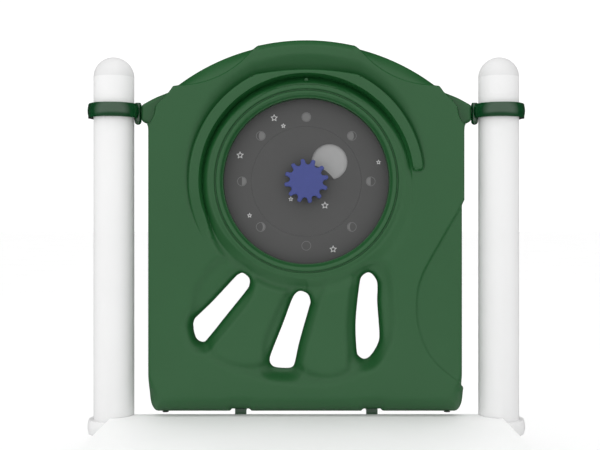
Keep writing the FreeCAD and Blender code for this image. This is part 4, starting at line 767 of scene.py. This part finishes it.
# Floor, light and camera
studio = {
    "lens": 57.72, "eye": (0.0, -2.4404, 0.822), "shiftX": -0.0105, "shiftY": -0.010, "dome": 1.1,
    # name: place, what it looks at, size in metres, watts
    "boxes": {"overhead": ((0.0, 0.2, 3.0), (0.0, 0.3, 0.2), 1.2, 7.0),
              "left side": ((-4.2, -3.6, 1.8), (0.1, 0.6, 0.8), 2.5, 34.0)},
    # what reflections see: each ramp's start and end along its axis, and its two brightnesses
    "frontRamp": (-0.03, -0.64, 0.02, 1.0), "heightRamp": (-0.30, -0.09, 0.2, 1.05),
    "floorHalf": 60.0, "floorGap": 0.0005,
}


def makeFloor():
    size = studio["floorHalf"]
    corners = np.array([(-size, -size, 0), (size, -size, 0), (size, size, 0), (-size, size, 0)], float)
    corners[:, 2] = cadBox[0][2] - studio["floorGap"]
    mesh = bpy.data.meshes.new("floor")
    mesh.from_pydata(corners.tolist(), [], [(0, 1, 2, 3)])
    floor = bpy.data.objects.new("floor", mesh)
    bpy.context.scene.collection.objects.link(floor)
    mesh.materials.append(surfaceMaterial("pale floor", "#F6F6F6", "#FFFFFF", 900, 30, 0.0, (0.85, 0.95)))
    return floor


# Map-range node from a ramp of the studio's table
def rampNode(tree, ramp, source):
    sockets = ("From Min", "From Max", "To Min", "To Max")
    return addNode(tree, "ShaderNodeMapRange", dict(zip(sockets, studio[ramp])), {"Value": source})


def makeLights():
    world = bpy.data.worlds.new("studio")
    bpy.context.scene.world = world
    world.use_nodes = True
    tree = world.node_tree
    tree.nodes.clear()
    # soft white all round; reflections see a bright front half, darker behind and low down
    place = addNode(tree, "ShaderNodeTexCoord")
    axes = addNode(tree, "ShaderNodeSeparateXYZ", links={"Vector": place.outputs["Generated"]})
    front = rampNode(tree, "frontRamp", axes.outputs["Y"])
    height = rampNode(tree, "heightRamp", axes.outputs["Z"])
    both = addNode(tree, "ShaderNodeMath", links={0: front.outputs["Result"], 1: height.outputs["Result"]},
                   operation="MULTIPLY")
    soft = addNode(tree, "ShaderNodeBackground", {"Color": (1, 1, 1, 1), "Strength": studio["dome"]})
    card = addNode(tree, "ShaderNodeBackground", {"Color": (1, 1, 1, 1)}, {"Strength": both.outputs["Value"]})
    path = addNode(tree, "ShaderNodeLightPath")
    mix = addNode(tree, "ShaderNodeMixShader", links={0: path.outputs["Is Glossy Ray"],
                                                      1: soft.outputs["Background"],
                                                      2: card.outputs["Background"]})
    addNode(tree, "ShaderNodeOutputWorld", links={"Surface": mix.outputs["Shader"]})


# Soft boxes, kept out of reflections
def makeBoxes():
    for name, (where, target, size, watts) in studio["boxes"].items():
        light = bpy.data.lights.new(name, "AREA")
        light.shape = "SQUARE"
        light.size = size
        light.energy = watts
        box = bpy.data.objects.new(name, light)
        box.location = where
        box.rotation_euler = (Vector(target) - Vector(where)).to_track_quat("-Z", "Y").to_euler()
        box.visible_glossy = False
        bpy.context.scene.collection.objects.link(box)


floor = makeFloor()
floor.visible_glossy = False
makeLights()
makeBoxes()
camera = bpy.data.cameras.new("eye")
camera.lens = studio["lens"]
camera.sensor_width = 36.0
camera.shift_x, camera.shift_y = studio["shiftX"], studio["shiftY"]
camera.clip_end = 200.0
eye = bpy.data.objects.new("eye", camera)
eye.location = studio["eye"]
eye.rotation_euler = (math.pi / 2, 0.0, 0.0)
bpy.context.scene.collection.objects.link(eye)
bpy.context.scene.camera = eye
bpy.context.scene.view_settings.view_transform = "Standard"
